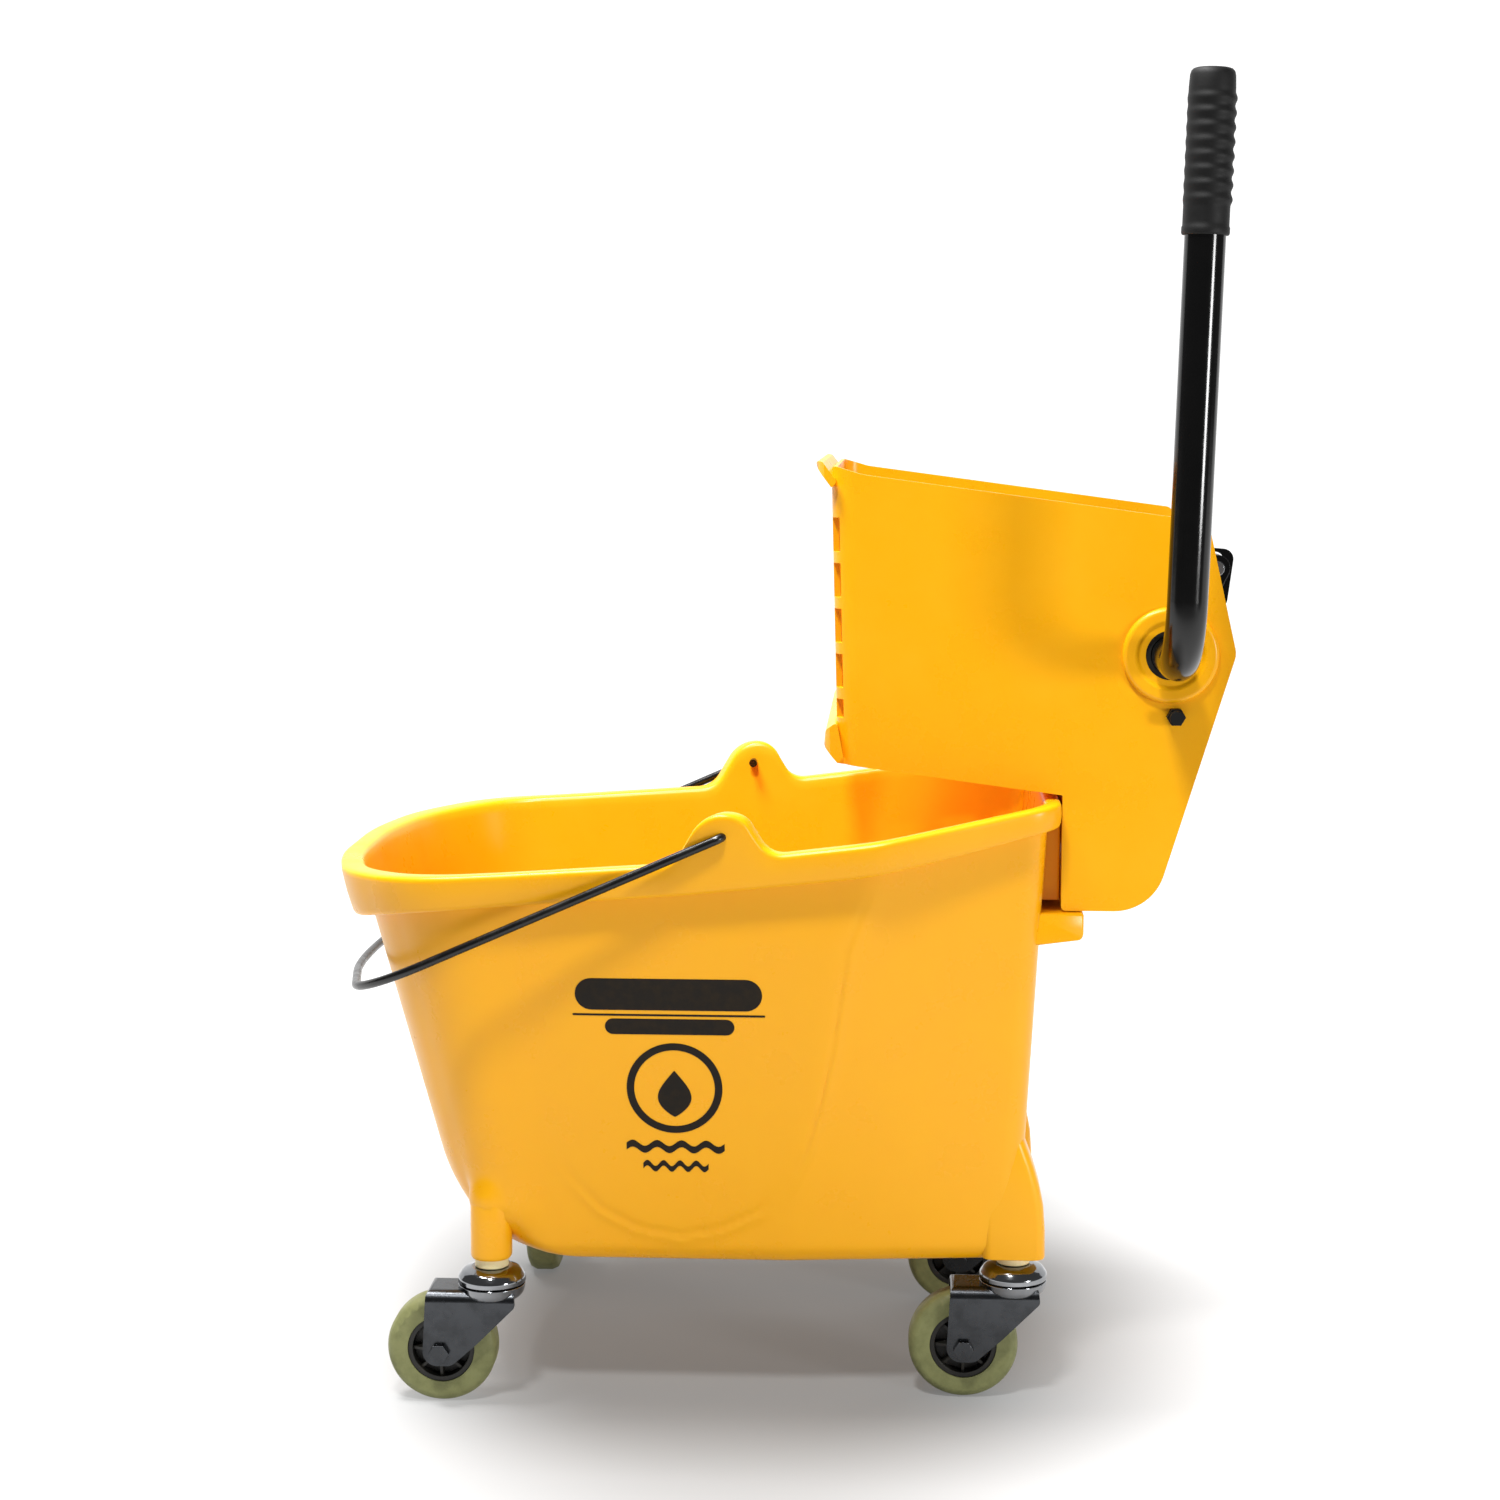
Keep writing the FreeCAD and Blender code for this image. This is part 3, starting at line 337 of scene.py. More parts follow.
endTree(gripTree, gripSkin.outputs[0], gripIn["Finish"])
print("node trees made")


# bucket shell

bucket = {"floor": 98.0, "level": 375.0, "wall": 3.0, "floorHalf": 127.0, "levelHalf": 174.0, "floorFront": -228.0,
          "levelFront": -306.0, "floorRear": 158.0, "levelRear": 171.5, "floorRearHalf": 112.0,
          "levelRearHalf": 143.0, "floorCrease": 0.0, "levelCrease": 60.0, "earX": -37.0,
          "earTop": 417.5, "sideEdge": 12.0, "frontEdge": 50.0, "frontRise": 72.0, "fieldStep": 1.5, "fieldGroove": 1.7,
          "pocket": 2.4}
rimLine = [(-330, 366, 328), (-290, 368, 332), (-240, 372, 347), (-184, 375, 353), (-53, 384, 363),
           (60, 398, 376), (130, 411, 392), (200, 424, 410)]


def alongRim(x, which):  # height of the rim's top (1) or of its lower edge (2), eased over its corners
    total = 0
    for dx in (-18, -9, 0, 9, 18):
        for a, b in zip(rimLine, rimLine[1:]):
            if x + dx <= b[0] or b is rimLine[-1]:
                total += lerp(a[which], b[which], (x + dx - a[0]) / (b[0] - a[0]))
                break
    return total / 5


def earRise(x):  # a domed lug with hollow shoulders
    b, slope = bucket, math.radians(60)
    height = b["earTop"] - alongRim(b["earX"], 1)
    dome, hollow, u = 21.0, 17.0, abs(x - b["earX"])
    domeEnd, drop = dome * math.sin(slope), (dome + hollow) * (1 - math.cos(slope))
    straight = (height - drop) / math.tan(slope)
    if u < domeEnd:
        return height - dome + math.sqrt(dome * dome - u * u)
    if u < domeEnd + straight:
        return height - dome * (1 - math.cos(slope)) - (u - domeEnd) * math.tan(slope)
    rest = domeEnd + straight + hollow * math.sin(slope) - u
    return hollow - math.sqrt(hollow * hollow - rest * rest) if rest > 0 else 0.0


def outlineCorners(k, inset, frontInset):
    b = bucket
    front = lerp(b["floorFront"], b["levelFront"], k) + inset + frontInset
    half = lerp(b["floorHalf"], b["levelHalf"], k) - inset
    rear = lerp(b["floorRear"], b["levelRear"], k) - inset
    rearHalf = lerp(b["floorRearHalf"], b["levelRearHalf"], k) - inset
    crease = lerp(b["floorCrease"], b["levelCrease"], k)
    share, step, run = lerp(0.80, 0.70, k), lerp(9, 17, k), lerp(34, 66, k)
    blunt, turn, shoulder = lerp(200, 270, k), lerp(30, 100, k), lerp(28, 80, k)
    side = [(front, half * 0.3, blunt), (front + step, half * share, turn), (front + run, half, shoulder),
            (crease, half, 60), (rear, rearHalf, 18 - inset)]
    return side + [(x, -y, r) for x, y, r in reversed(side)]


def spread(count):
    return [i / count for i in range(1, count)]


# where points fall along the long side: close together by the ear
sideSpread = [i / 62 for i in range(1, 34)] + [0.53 + i * 0.0072 for i in range(1, 50)] + [0.9, 0.93, 0.96, 0.985]
arcSteps = (8, 9, 9, 8, 9)
lineSpreads = [spread(6), spread(10), sideSpread, spread(26), spread(30), spread(26),
               [1 - t for t in reversed(sideSpread)], spread(10), spread(6), spread(16)]


def sampledRing(corners):
    count = len(corners)
    arcs = []
    for i, (x, y, radius) in enumerate(corners):
        corner = Vector((x, y))
        back = (Vector(corners[i - 1][:2]) - corner).normalized()
        ahead = (Vector(corners[(i + 1) % count][:2]) - corner).normalized()
        half = back.angle(ahead) / 2
        start, end = corner + back * radius / math.tan(half), corner + ahead * radius / math.tan(half)
        centre = corner + (back + ahead).normalized() * radius / math.sin(half)
        arcs.append((start, end, centre, radius))
    points = []
    for i, (start, end, centre, radius) in enumerate(arcs):
        steps = arcSteps[i] if i < 5 else arcSteps[9 - i]
        a, b = start - centre, end - centre
        total = a.angle(b)
        for s in range(steps + 1):
            t = s / steps
            turn = (a * math.sin((1 - t) * total) + b * math.sin(t * total)) / math.sin(total)
            points.append(centre + turn)
        following = arcs[(i + 1) % count][0]
        points += [end.lerp(following, t) for t in lineSpreads[i]]
    return points


plainLow, plainHigh = sampledRing(outlineCorners(0, 0, 0)), sampledRing(outlineCorners(1, 0, 0))
wideLow, wideHigh = sampledRing(outlineCorners(0, -10, 0)), sampledRing(outlineCorners(1, -10, 0))
backLow, backHigh = sampledRing(outlineCorners(0, 0, 20)), sampledRing(outlineCorners(1, 0, 20))
ringCount = len(plainLow)


def shellPoint(i, z, outset=0.0, frontInset=0.0):
    k = (z - bucket["floor"]) / (bucket["level"] - bucket["floor"])
    base = plainLow[i].lerp(plainHigh[i], k)
    wide = wideLow[i].lerp(wideHigh[i], k)
    back = backLow[i].lerp(backHigh[i], k)
    return base + (wide - base) * outset / 10 + (back - base) * frontInset / 20


# the side walls carry a faint raised field with a rounded lower edge
fieldEdge = [(62, 400), (60, 366), (50, 340), (44, 324), (39, 289), (34, 254), (27, 219), (17, 183), (4, 157),
             (-17, 135), (-44, 122), (-71, 117), (-99, 122), (-125, 136), (-145, 158), (-158, 176), (-166, 205),
             (-172, 240)]


def fieldStep(x, z):
    nearest, side = 1e9, 1.0
    for (ax, az), (bx, bz) in zip(fieldEdge, fieldEdge[1:]):
        dx, dz = bx - ax, bz - az
        t = min(max(((x - ax) * dx + (z - az) * dz) / (dx * dx + dz * dz), 0), 1)
        distance = math.hypot(x - ax - dx * t, z - az - dz * t)
        if distance < nearest:
            nearest = distance
            side = 1.0 if (x - ax) * dz - (z - az) * dx > 0 else -1.0
    rise = bucket["fieldStep"] * (0.5 + 0.5 * math.tanh(side * nearest / 2.5))
    rise -= bucket["fieldGroove"] * math.exp(-(nearest / 3.8) ** 2)
    return rise * smooth(-176, -120, x) * smooth(372, 320, z)


# the ears have a shallow pocket under the bail's hole, narrow at the top: corners and softness
pocketEdge = [(-38, 397), (-29, 397), (-16, 385), (-18, 380), (-43, 378), (-44, 384)]


def earPocket(x, z):
    inside = 1e9
    for (ax, az), (bx, bz) in zip(pocketEdge, pocketEdge[1:] + pocketEdge[:1]):
        length = math.hypot(bx - ax, bz - az)
        inside = min(inside, ((bz - az) * (ax - x) - (bx - ax) * (az - z)) / length)
    return bucket["pocket"] * smooth(-0.5, 3.5, inside)


def sideOutward(x, z):  # how far the side wall's face stands from the middle plane
    k = (z - bucket["floor"]) / (bucket["level"] - bucket["floor"])
    return lerp(bucket["floorHalf"], bucket["levelHalf"], k) + fieldStep(x, z)


# the front legs: height, moved in towards the bath, half width; the wall swells over their tops
legs = {"x": -201.0, "y": 125.0, "round": 0.9, "swell": 14.0, "swellTop": 9.0, "soft": 6.0, "line": [
    (100.0, 0.0, 12.2), (100.5, 0.0, 13.2), (101.6, 0.0, 13.8), (103.5, 0.0, 14.0), (124.0, 0.0, 14.0),
    (138.0, 0.0, 13.9), (146.0, 0.3, 12.8), (158.0, 3.5, 10.5), (172.0, 9.0, 8.0)]}


def legSwell(p, out, z):  # how far the wall is drawn out over a leg, along its outward direction
    radius = lerp(legs["swell"], legs["swellTop"], smooth(144, 186, z))
    into = 11 * smooth(140, 186, z)
    q = p - Vector((legs["x"] + into, math.copysign(legs["y"] - into, p.y)))
    across = abs(q.x * out.y - q.y * out.x)
    reach = -q.dot(out) + (math.sqrt(radius ** 2 - across ** 2) if across < radius else radius - across)
    reach = (reach + math.sqrt(reach ** 2 + legs["soft"] ** 2)) / 2
    return reach * smooth(116, 140, z) * smooth(radius + 24, radius + 8, across) * smooth(206, 180, z)


def bucketShell():
    b, rows = bucket, []

    def addRow(heightOf, outset=0.0, frontInset=0.0, field=False, fades=False, scale=1.0, pocket=False):
        row = []
        for i in range(ringCount):
            x = plainHigh[i].x
            z = heightOf(x, i)
            p = shellPoint(i, z, 0.0, frontInset)
            z = heightOf(p.x, i)
            reach = outset
            if fades:
                reach = outset * (1 - 0.29 * smooth(62, 168, p.x))
            p = shellPoint(i, z, reach, frontInset)
            if field and z < 206 and p.x < -150:
                out = (wideHigh[i] - plainHigh[i]).normalized()
                p = p + out * legSwell(p, out, z)
            x, y = p
            if field and abs(y) > 100:
                y += math.copysign(fieldStep(x, z), y)
            if pocket and abs(y) > 170:
                y -= math.copysign(earPocket(x, z), y)
            row.append(at(lerp(-25, x, scale), y * scale, z))
        rows.append(row)

    def top(x, i):
        return alongRim(x, 1) + (earRise(x) if abs(plainHigh[i].y) > 160 else 0.0)

    def low(x, i):
        return alongRim(x, 2)

    def edge(u, reach):  # how far a quarter-round edge is taken in, u of the way up it
        return reach * (1 - math.sqrt(max(0.0, 1 - (1 - min(u, 1)) ** 2)))

    for scale in (0.0, 0.02, 0.25, 0.5, 0.75, 0.93):
        addRow(lambda x, i: b["floor"], -b["sideEdge"], b["frontEdge"] - b["sideEdge"], scale=scale)
    rise = b["frontRise"]
    for lift in [0, 0.5, 1.5, 3, 5.5, 9] + [12 + 3 * i for i in range(21)]:
        side, front = edge(lift / 14, b["sideEdge"]), edge(lift / rise, b["frontEdge"])
        addRow(lambda x, i: b["floor"] + lift, -side, front - side, field=lift > 9)
    for step in range(1, 60):
        addRow(lambda x, i: lerp(b["floor"] + rise, alongRim(x, 1) - 4, step / 60), field=True)
    under = [(0.0, "top", -3.4), (3.0, "top", -3.2), (8.6, "top", -3.4), (9.2, "top", -5.0), (9.2, "low", 2.0),
             (9.6, "low", 0.4), (10.4, "low", 0.0), (11.4, "low", 0.5), (12.0, "low", 2.2)]
    face = [(12.0 + 0.5 * math.sin(math.pi * t / 24), t / 24) for t in range(2, 23)]
    over = [(12.0, "top", -4.5), (11.7, "top", -2.6), (10.8, "top", -1.1), (9.4, "top", -0.3), (7.5, "top", 0.0),
            (4.0, "top", 0.0), (0.5, "top", 0.0), (-1.3, "top", -0.4), (-2.4, "top", -1.4), (-3.0, "top", -3.4)]
    for outset, which, dz in under:
        addRow(lambda x, i: (top if which == "top" else low)(x, i) + dz, outset, fades=outset > 0)
    for outset, t in face:
        addRow(lambda x, i: lerp(low(x, i) + 2.2, top(x, i) - 4.5, t), outset, fades=True, pocket=True)
    for outset, which, dz in over:
        addRow(lambda x, i: top(x, i) + dz, outset, fades=outset > 0)
    for step in range(1, 34):
        addRow(lambda x, i: lerp(top(x, i) - 3.4, b["floor"] + b["wall"] + rise, step / 34), -b["wall"])
    for lift in (72, 62, 52, 42, 34, 27, 20, 14, 9, 5.5, 3, 1.5, 0.5, 0):
        side, front = edge(lift / 14, b["sideEdge"]), edge(lift / rise, b["frontEdge"])
        addRow(lambda x, i: b["floor"] + b["wall"] + lift, -side - b["wall"], front - side)
    for scale in (0.93, 0.75, 0.5, 0.25, 0.02, 0.0):
        addRow(lambda x, i: b["floor"] + b["wall"], -b["sideEdge"] - b["wall"], b["frontEdge"] - b["sideEdge"],
               scale=scale)
    points = [p for row in rows for p in row]
    return meshFrom("bucketShell", points, ringedFaces(len(rows), ringCount, False), 40)


shell = newPiece("bucket_shell", bucketShell(), "bucket", "yellow_plastic", "bucket_tub")
print("bucket shell", len(shell.data.polygons))


def roundedSquare(cx, cy, halfX, halfY, radius, z, steps=6):
    points = []
    for sx, sy, first in ((1, 1, 0), (-1, 1, 90), (-1, -1, 180), (1, -1, 270)):
        for s in range(steps + 1):
            a = math.radians(first + 90 * s / steps)
            points.append(at(cx + sx * (halfX - radius) + radius * math.cos(a),
                             cy + sy * (halfY - radius) + radius * math.sin(a), z))
    return points


def lofted(name, rings, angle=40):
    points = [p for ring in rings for p in ring]
    return meshFrom(name, points, ringedFaces(len(rings), len(rings[0])), angle)


# the rear feet swell out of the corner: height, middle x, half length, middle y, half width
feet = {"round": 7.0, "line": [
    (100.0, 155.0, 20.0, 98.0, 17.0), (100.5, 155.0, 21.0, 98.0, 18.0), (102.0, 155.0, 21.5, 98.0, 18.5),
    (120.0, 154.8, 21.5, 98.4, 19.2), (138.0, 154.0, 21.0, 99.0, 19.5), (152.0, 153.1, 18.9, 99.9, 19.0),
    (166.0, 152.0, 16.0, 101.0, 18.0), (178.0, 151.0, 12.6, 102.0, 16.2), (190.0, 150.0, 9.0, 103.0, 14.0)]}
# inside, a short round post caps each rear stem's socket: height and radius
posts = {"x": 155.6, "y": 98.0, "line": [(101.0, 11.5), (126.0, 11.5), (128.2, 10.6), (129.0, 8.6)]}


def discRing(cx, cy, radius, z, steps=28):
    return [at(cx + radius * math.cos(2 * math.pi * i / steps), cy + radius * math.sin(2 * math.pi * i / steps), z)
            for i in range(steps)]


for side, sideName in ((-1, "near"), (1, "far")):
    rings = [roundedSquare(legs["x"] + into, side * (legs["y"] - into), half, half, legs["round"] * half, z)
             for z, into, half in legs["line"]]
    newPiece("bucket_leg_front_" + sideName, lofted("frontLeg", rings), "bucket", "yellow_plastic")
    rings = [roundedSquare(cx, side * cy, hx, hy, feet["round"], z) for z, cx, hx, cy, hy in feet["line"]]
    newPiece("bucket_foot_rear_" + sideName, lofted("rearFoot", rings), "bucket", "yellow_plastic")
    rings = [discRing(posts["x"], side * posts["y"], radius, z) for z, radius in posts["line"]]
    newPiece("bucket_post_rear_" + sideName, lofted("rearPost", rings), "bucket", "yellow_plastic")

# two guide ribs on the rear wall, which the wringer's lower web slides down behind
guide = {"y": 113.0, "half": 3.0, "face": 182.4, "low": 350.0, "round": 1.6, "rooted": 1.5,
         "slices": 12}
for side, sideName in ((-1, "near"), (1, "far")):
    rings, top = [], alongRim(176, 2) + 2
    for i in range(guide["slices"] + 1):
        z = lerp(guide["low"], top, i / guide["slices"])
        k = (z - bucket["floor"]) / (bucket["level"] - bucket["floor"])
        back = lerp(bucket["floorRear"], bucket["levelRear"], k) - guide["rooted"]
        middle, half = (back + guide["face"]) / 2, (guide["face"] - back) / 2
        rings.append(roundedSquare(middle, side * guide["y"], half, guide["half"], guide["round"], z))
    newPiece("bucket_guide_rib_" + sideName, lofted("guideRib", rings), "bucket", "yellow_plastic")

shelf = {"x": (163.5, 198.0), "z": (322.5, 343.5), "half": 132.0, "round": 4.5}


def shelfBlock():
    (x0, x1), (z0, z1), r = shelf["x"], shelf["z"], shelf["round"]
    section = [(x0, z1), (x1 - 1.5, z1), (x1, z1 - 1.5), (x1, z0 + r + 4)]
    section += [(x1 - r + r * math.cos(math.radians(a)), z0 + r + 3 + r * math.sin(math.radians(a)))
                for a in range(0, -91, -15)]
    section += [(x0, z0 - 1.5)]
    rings = []
    for y, taken in ((-1, 1.4), (-0.994, 0.4), (-0.985, 0.0), (0.985, 0.0), (0.994, 0.4), (1, 1.4)):
        rings.append([at(min(x, x1 - taken) if x > x0 else x, y * shelf["half"],
                         min(max(z, z0 - 1.5 + taken), z1 - taken)) for x, z in section])
    return lofted("rearShelf", rings)


newPiece("bucket_shelf", shelfBlock(), "bucket", "yellow_plastic")
print("legs, feet and shelf")

# bail
bail = {"pivotX": -38.0, "pivotZ": 402.5, "half": 193.5, "stock": 3.0, "corner": 262.0, "reach": 302.0,
        "drop": 23.7, "hook": 26.0, "bends": (6, 62, 400, 62, 6)}


def bailPoint(along, y):
    drop = math.radians(bail["drop"])
    return at(bail["pivotX"] - along * math.cos(drop), y, bail["pivotZ"] - along * math.sin(drop))


bailPath = [at(bail["pivotX"], -bail["half"] + bail["hook"], bail["pivotZ"]), bailPoint(0, -bail["half"]),
            bailPoint(bail["corner"], -bail["half"]), bailPoint(bail["reach"], 0),
            bailPoint(bail["corner"], bail["half"]), bailPoint(0, bail["half"]),
            at(bail["pivotX"], bail["half"] - bail["hook"], bail["pivotZ"])]
newPiece("bail", bentBar("bail", bailPath, bail["bends"], bail["stock"], "coatedWire"), "bail", "black_wire",
         "bail_wire")

# lever
lever = {"shaftX": 252.0, "shaftZ": 515.5, "y": -214.0, "lean": 0.028, "top": 874.0, "stock": 12.7, "bend": 42.0,
         "end": 141.5}
# the grip's own outline: height above its mouth, radius
grip = {"low": 781.0, "radius": 14.3, "ridgeHeight": 1.2, "ridges": 8, "first": 17.0, "last": 86.0,
        "outline": [(0.0, 12.9), (0.0, 14.2), (0.5, 14.6), (1.5, 14.8), (4.5, 14.8), (5.6, 14.3)]
        + [(8.0 + 0.75 * i, 14.3) for i in range(108)]
        + [(92.0, 14.1), (95.5, 13.9), (97.8, 13.3), (99.2, 12.1), (99.8, 10.4), (100.0, 7.5)]}


def leverPoint(z):  # the tube's middle line at a height
    return at(lever["shaftX"] + (z - lever["shaftZ"]) * lever["lean"], lever["y"], z)


leverPath = [at(lever["shaftX"], lever["end"], lever["shaftZ"]), leverPoint(lever["shaftZ"]), leverPoint(lever["top"])]
newPiece("lever_bar", bentBar("lever", leverPath, (lever["bend"],), lever["stock"], "blackStoveEnamel", 40), "lever",
         "black_enamel", "lever_tube")


def gripMesh():
    rings = []
    for height, radius in grip["outline"]:
        rings.append([Vector((radius * math.cos(2 * math.pi * i / 56), radius * math.sin(2 * math.pi * i / 56),
                              height)) / 1000 for i in range(56)])
    plain = lofted("plainGrip", rings)
    sizes = {"Ridge Height": grip["ridgeHeight"] / 1000, "Ridges": grip["ridges"], "First": grip["first"] / 1000,
             "Last": grip["last"] / 1000, "Radius": grip["radius"] / 1000, "Finish": finishes["softVinyl"]}
    mesh = grown(gripTree, sizes, "grip", plain)
    lean = Vector((lever["lean"], 0, 1)).to_track_quat("Z", "Y").to_matrix().to_4x4()
    upright = lean @ Matrix.Rotation(-lean.to_euler().z, 4, "Z")
    mesh.transform(Matrix.Translation(leverPoint(grip["low"])) @ upright)
    return mesh


newPiece("grip", gripMesh(), "lever", "black_grip", "lever_grip")
print("bail, lever and grip")

# return springs: a coil round the shaft, one leg on the crank and one behind the tie rod
spring = {"radius": 17.6, "stock": 1.6, "turns": 4, "pitch": 3.7, "first": 102.0, "crankLeg": (261.0, 557.5),
          "rodLeg": (261.0, 467.0), "hook": 10.0, "steps": 28}


def springPath(side):
    s, x, z = spring, lever["shaftX"], lever["shaftZ"]
    crankX, crankZ = s["crankLeg"]
    path = [(crankX, s["first"] - s["hook"], crankZ), (crankX, s["first"], crankZ)]
    for i in range(s["turns"] * s["steps"] + 1):
        turn = 2 * math.pi * i / s["steps"]
        path.append((x + s["radius"] * math.cos(turn), s["first"] + s["pitch"] * i / s["steps"],
                     z - s["radius"] * math.sin(turn)))
    path.append((s["rodLeg"][0], s["first"] + s["pitch"] * s["turns"], s["rodLeg"][1]))
    return [at(px, side * py, pz) for px, py, pz in path]


for side, sideName in ((-1, "near"), (1, "far")):
    path = springPath(side)
    bends = [2.2] + [0.3] * (len(path) - 3)
    newPiece("spring_" + sideName, bentBar("spring", path, bends, spring["stock"], "springWire", 12, 1), "wringer",
             "spring_steel", "return_spring_" + sideName)

# casters: the balls in each race, and ribs on each hub
caster = {"places": {"front_near": (-201.0, -125.0), "front_far": (-201.0, 125.0), "rear_near": (155.6, -98.0),
                     "rear_far": (155.6, 98.0)},
          "turned": {"front_far": -90.0}, "trail": 34.0, "wheelRadius": 37.5, "ballRadius": 2.9, "ballRing": 15.5,
          "balls": 12, "ballHeight": 82.5, "ribs": 8, "ribIn": 9.0, "ribOut": 19.8, "ribThick": 1.8}


def ballMesh():
    shape = bmesh.new()
    bmesh.ops.create_icosphere(shape, subdivisions=2, radius=caster["ballRadius"] / 1000)
    mesh = bpy.data.meshes.new("ball")
    shape.to_mesh(mesh)
    shape.free()
    return mesh


def ribMesh():  # two tapered ribs, one on each side of the hub's web
    c, points, faces = caster, [], []
    middle, half = (c["ribIn"] + c["ribOut"]) / 2, c["ribThick"] / 2
    for side in (-1, 1):
        start = len(points)
        for across in (-half, half):
            for r, rise in ((c["ribIn"], 2.5), (c["ribOut"], 2.5), (c["ribOut"], 9.0), (c["ribIn"], 12.5)):
                points.append(Vector((r - middle, across, side * rise)) / 1000)
        for face in ((3, 2, 1, 0), (4, 5, 6, 7), (0, 1, 5, 4), (1, 2, 6, 5), (2, 3, 7, 6), (3, 0, 4, 7)):
            faces.append(tuple(start + i for i in face))
    return meshFrom("rib", points, faces)


for name, (x, y) in caster["places"].items():
    turned = Matrix.Rotation(math.radians(caster["turned"].get(name, 0.0)), 4, "Z")
    stem = Matrix.Translation(at(x, y, 0)) @ turned
    balls = grown(ringTree, {"Ring Radius": caster["ballRing"] / 1000, "Count": caster["balls"],
                             "Finish": finishes["groundSteel"]}, "balls", ballMesh())
    balls.transform(stem @ Matrix.Translation((0, 0, caster["ballHeight"] / 1000)))
    newPiece("balls_" + name, balls, "swivel_" + name, "ball_steel", "swivel_balls_" + name)
    ribs = grown(ringTree, {"Ring Radius": (caster["ribIn"] + caster["ribOut"]) / 2000, "Count": caster["ribs"],
                            "Finish": finishes["filledNylon"]}, "ribs", ribMesh())
    axle = Matrix.Translation((-caster["trail"] / 1000, 0, caster["wheelRadius"] / 1000))
    ribs.transform(stem @ axle @ Matrix.Rotation(math.pi / 2, 4, "X"))
    newPiece("hub_ribs_" + name, ribs, "wheel_" + name, "dark_plastic")
print("springs, balls and ribs")

# a plain print on the near wall: bars, a ring round a drop, and two water lines
ink = {"stand": 0.28, "film": 0.16, "middle": -73.0, "bars": [(-76, 292, 124, 22), (-75.5, 269.5, 86, 11)],
       "rule": (-76, 277.6, 128, 1.4), "ring": (226.0, 32.0, 27.0), "drop": (222.0, 11.5, 33.0),
       "waves": [(184.0, 66.0, 5.0), (170.0, 44.0, 4.0)], "waveHeight": 2.2, "waveCount": 4}


def inkFilm(name, inner, outer, closed):  # a thin film between two lines drawn on the wall
    points, faces, count = [], [], len(inner)
    for (ax, az), (bx, bz) in zip(inner, outer):
        for x, z, rise in ((ax, az, 0.0), (bx, bz, 0.0), (bx, bz, ink["film"]), (ax, az, ink["film"])):
            points.append(at(x, -sideOutward(x, z) - ink["stand"] + ink["film"] - rise, z))
    for i in range(count if closed else count - 1):
        j = (i + 1) % count
        faces += [(4 * i + a, 4 * i + (a + 1) % 4, 4 * j + (a + 1) % 4, 4 * j + a) for a in range(4)]
    if not closed:
        faces += [(0, 1, 2, 3), tuple(4 * count - 4 + a for a in (3, 2, 1, 0))]
    newPiece(name, meshFrom(name, points, faces, 30), "bucket", "black_cap", finishName="screenInk")


def inkBar(name, cx, cz, width, height, steps=40):  # a bar with round ends
    low, high = [], []
    for i in range(steps + 1):
        t = -math.cos(math.pi * i / steps)
        x = cx + t * width / 2
        into = max(0.0, abs(t) * width / 2 - width / 2 + height / 2) / (height / 2)
        half = height / 2 * math.sqrt(max(0.0004, 1 - into ** 2))
        low.append((x, cz - half))
        high.append((x, cz + half))
    inkFilm(name, low, high, False)


for number, values in enumerate(ink["bars"]):
    inkBar("print_bar_%d" % number, *values)
inkBar("print_rule", *ink["rule"])
ringHeight, ringOuter, ringInner = ink["ring"]
circle = [(math.cos(2 * math.pi * i / 72), math.sin(2 * math.pi * i / 72)) for i in range(72)]
inkFilm("print_ring", [(ink["middle"] + ringInner * c, ringHeight + ringInner * s) for c, s in circle],
        [(ink["middle"] + ringOuter * c, ringHeight + ringOuter * s) for c, s in circle], True)
dropHeight, dropHalf, dropTall = ink["drop"]
left, right = [], []
for i in range(33):
    t = i / 32
    half = dropHalf * math.sin(math.pi * t) ** 0.9 * (1 - 0.52 * t) / 0.78 + 0.02
    z = dropHeight - dropTall / 2 + dropTall * t
    left.append((ink["middle"] - half, z))
    right.append((ink["middle"] + half, z))
inkFilm("print_drop", left, right, False)
for number, (z, width, height) in enumerate(ink["waves"]):
    low, high = [], []
    for i in range(49):
        t = i / 48
        wave = ink["waveHeight"] * math.sin(2 * math.pi * ink["waveCount"] * t)
        x = ink["middle"] + (t - 0.5) * width
        low.append((x, z + wave - height / 2))
        high.append((x, z + wave + height / 2))
    inkFilm("print_wave_%d" % number, low, high, False)
print("print on the wall")

# the rest of the CAD pieces, with their edges eased
modelled = ("bucket_tub", "bail_wire", "lever_tube", "lever_grip", "return_spring", "swivel_balls")
bevels = {"wringer_housing": 0.7, "press_plate": 0.6, "tyre": 0.0}
for node in sorted(cad):
    if not node.startswith(modelled):
        eased(node, bevels.get(node.split("_front_")[0].split("_rear_")[0], 0.35))
print("eased pieces done")

# stage, light and camera
# the stage glows white; the soft grey pool of weaker glow under the bucket is a painted shadow, and the glow fades
# towards the camera so the glowing floor throws less light on the near wall
studio = {"sky": 0.12, "glow": 1.0, "front": (-1.6, -0.4), "frontGlow": 0.05, "pool": (-0.02, 0.1),
          "poolSize": (0.42, 0.72), "poolSoft": (0.35, 1.0), "poolGlow": 0.13, "floorColour": "#7F7F7F",
          "halfWidth": 9, "nearEnd": -9, "height": 7, "sweepFlat": 2.6, "sweepRadius": 1.6}


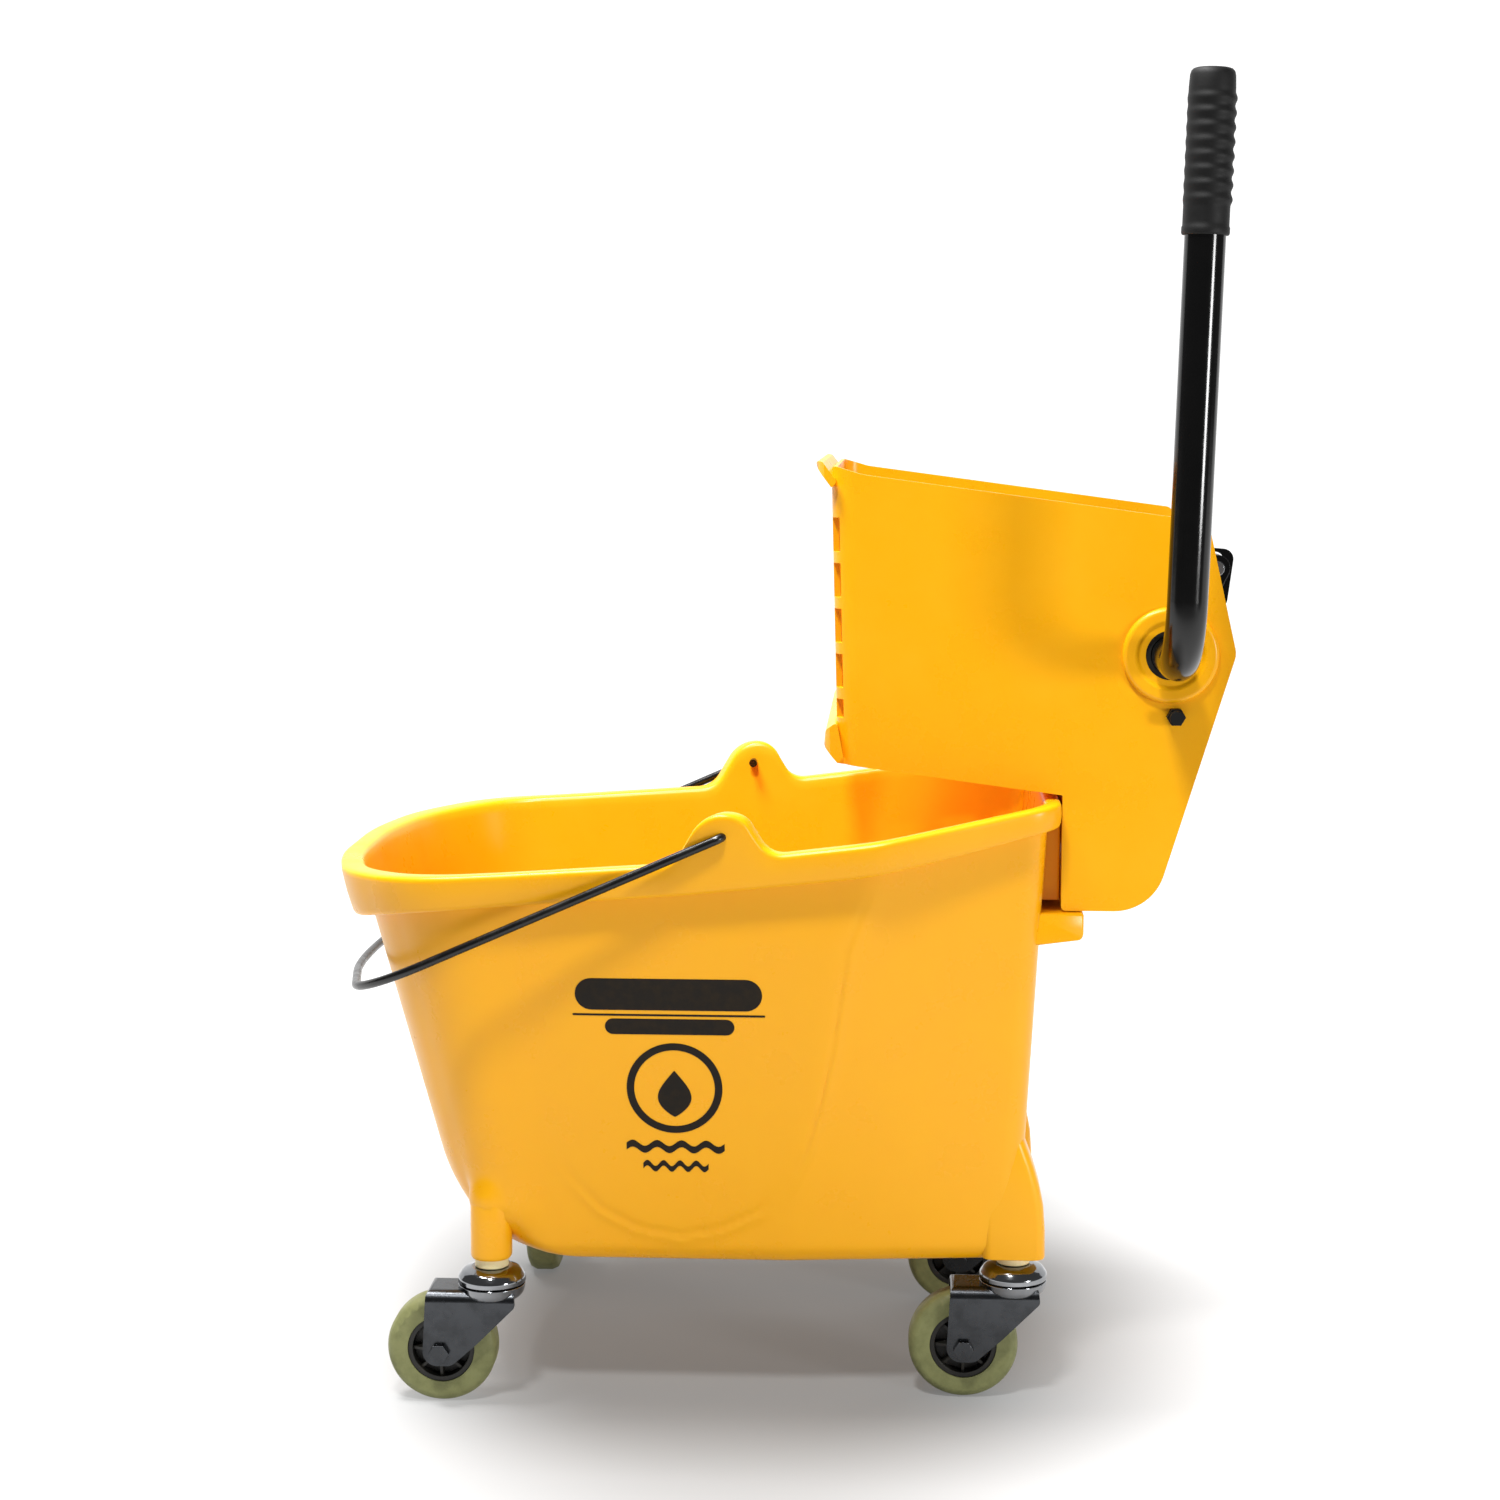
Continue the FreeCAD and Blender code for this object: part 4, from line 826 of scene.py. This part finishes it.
def stagePiece(name, line, colour):  # a strip across the whole width, along (y, z) points
    points = [(side * studio["halfWidth"], y, z) for y, z in line for side in (-1, 1)]
    faces = [(2 * i, 2 * i + 1, 2 * i + 3, 2 * i + 2) for i in range(len(line) - 1)]
    mesh = bpy.data.meshes.new(name)
    mesh.from_pydata(points, [], faces)
    piece = bpy.data.objects.new(name, mesh)
    bpy.context.scene.collection.objects.link(piece)
    paint = bpy.data.materials.new(name + "Paint")
    paint.use_nodes = True
    tree = paint.node_tree
    shader = tree.nodes["Principled BSDF"]
    for key, value in {"Base Color": linear(colour), "Roughness": 0.9, "Specular IOR Level": 0.1,
                       "Emission Color": linear("#FFFFFF")}.items():
        shader.inputs[key].default_value = value
    # the pool: a painted shadow, an ellipse of weaker glow under the bucket
    (px, py), (sx, sy) = studio["pool"], studio["poolSize"]
    place = addNode(tree, "ShaderNodeTexCoord").outputs["Object"]
    scaled = addNode(tree, "ShaderNodeMapping", {"Vector": place, "Location": (-px / sx, -py / sy, 0),
                                                 "Scale": (1 / sx, 1 / sy, 1)})
    away = addNode(tree, "ShaderNodeVectorMath", {0: scaled.outputs["Vector"]}, operation="LENGTH")
    glow = addNode(tree, "ShaderNodeMapRange", {"Value": away.outputs["Value"], "From Min": studio["poolSoft"][0],
                                                "From Max": studio["poolSoft"][1], "To Min": studio["poolGlow"],
                                                "To Max": studio["glow"]}, interpolation_type="SMOOTHSTEP")
    # weaker glow in front of the bucket, so the glowing floor lights the near wall less
    parts = addNode(tree, "ShaderNodeSeparateXYZ", {0: place})
    front = addNode(tree, "ShaderNodeMapRange", {"Value": parts.outputs["Y"], "From Min": studio["front"][0],
                                                 "From Max": studio["front"][1], "To Min": studio["frontGlow"],
                                                 "To Max": 1.0}, interpolation_type="SMOOTHSTEP")
    shine = addNode(tree, "ShaderNodeMath", {0: glow.outputs["Result"], 1: front.outputs["Result"]},
                    operation="MULTIPLY")
    tree.links.new(shine.outputs[0], shader.inputs["Emission Strength"])
    mesh.materials.append(paint)


sweep = [(studio["sweepFlat"] + studio["sweepRadius"] * math.sin(math.radians(a)),
          studio["sweepRadius"] * (1 - math.cos(math.radians(a)))) for a in range(0, 91, 6)]
stagePiece("stage_floor", [(studio["nearEnd"], 0)] + sweep + [(sweep[-1][0], studio["height"])],
           studio["floorColour"])

world = bpy.data.worlds.new("paleStudio")
bpy.context.scene.world = world
world.use_nodes = True
world.node_tree.nodes["Background"].inputs["Color"].default_value = linear("#FFFFFF")
world.node_tree.nodes["Background"].inputs["Strength"].default_value = studio["sky"]


def softLight(name, place, target, size, power):
    data = bpy.data.lights.new(name, "AREA")
    data.shape, data.size, data.energy = "SQUARE", size, power
    lamp = bpy.data.objects.new(name, data)
    bpy.context.scene.collection.objects.link(lamp)
    lamp.location = place
    lamp.rotation_euler = (Vector(target) - Vector(place)).to_track_quat("-Z", "Y").to_euler()


# place, what it points at, size and power
lights = {"keyLight": ((-0.25, -1.3, 2.43), (0, 0, 0.35), 0.3, 44.0),
          "sideLight": ((2.3, -1.9, 0.6), (0, 0, 0.45), 0.55, 35.0),
          "topLight": ((-0.8, -0.1, 2.8), (0.0, 0, 0.3), 0.8, 128.0)}
for name, values in lights.items():
    softLight(name, *values)

view = {"place": (76.0, -1914.0, 681.0), "turn": 3.2, "tip": 7.33, "lens": 65.26}
camera = bpy.data.objects.new("camera", bpy.data.cameras.new("camera"))
bpy.context.scene.collection.objects.link(camera)
camera.data.lens, camera.data.sensor_width = view["lens"], 36.0
camera.data.clip_start, camera.data.clip_end = 0.05, 100
turn, tip = math.radians(view["turn"]), math.radians(view["tip"])
forward = Vector((-math.sin(turn) * math.cos(tip), math.cos(turn) * math.cos(tip), -math.sin(tip)))
right = Vector((math.cos(turn), math.sin(turn), 0))
camera.matrix_world = Matrix((right, right.cross(forward), -forward)).transposed().to_4x4()
camera.location = at(*view["place"])
bpy.context.scene.camera = camera
bpy.context.scene.view_settings.view_transform = "Standard"
print("stage and camera")
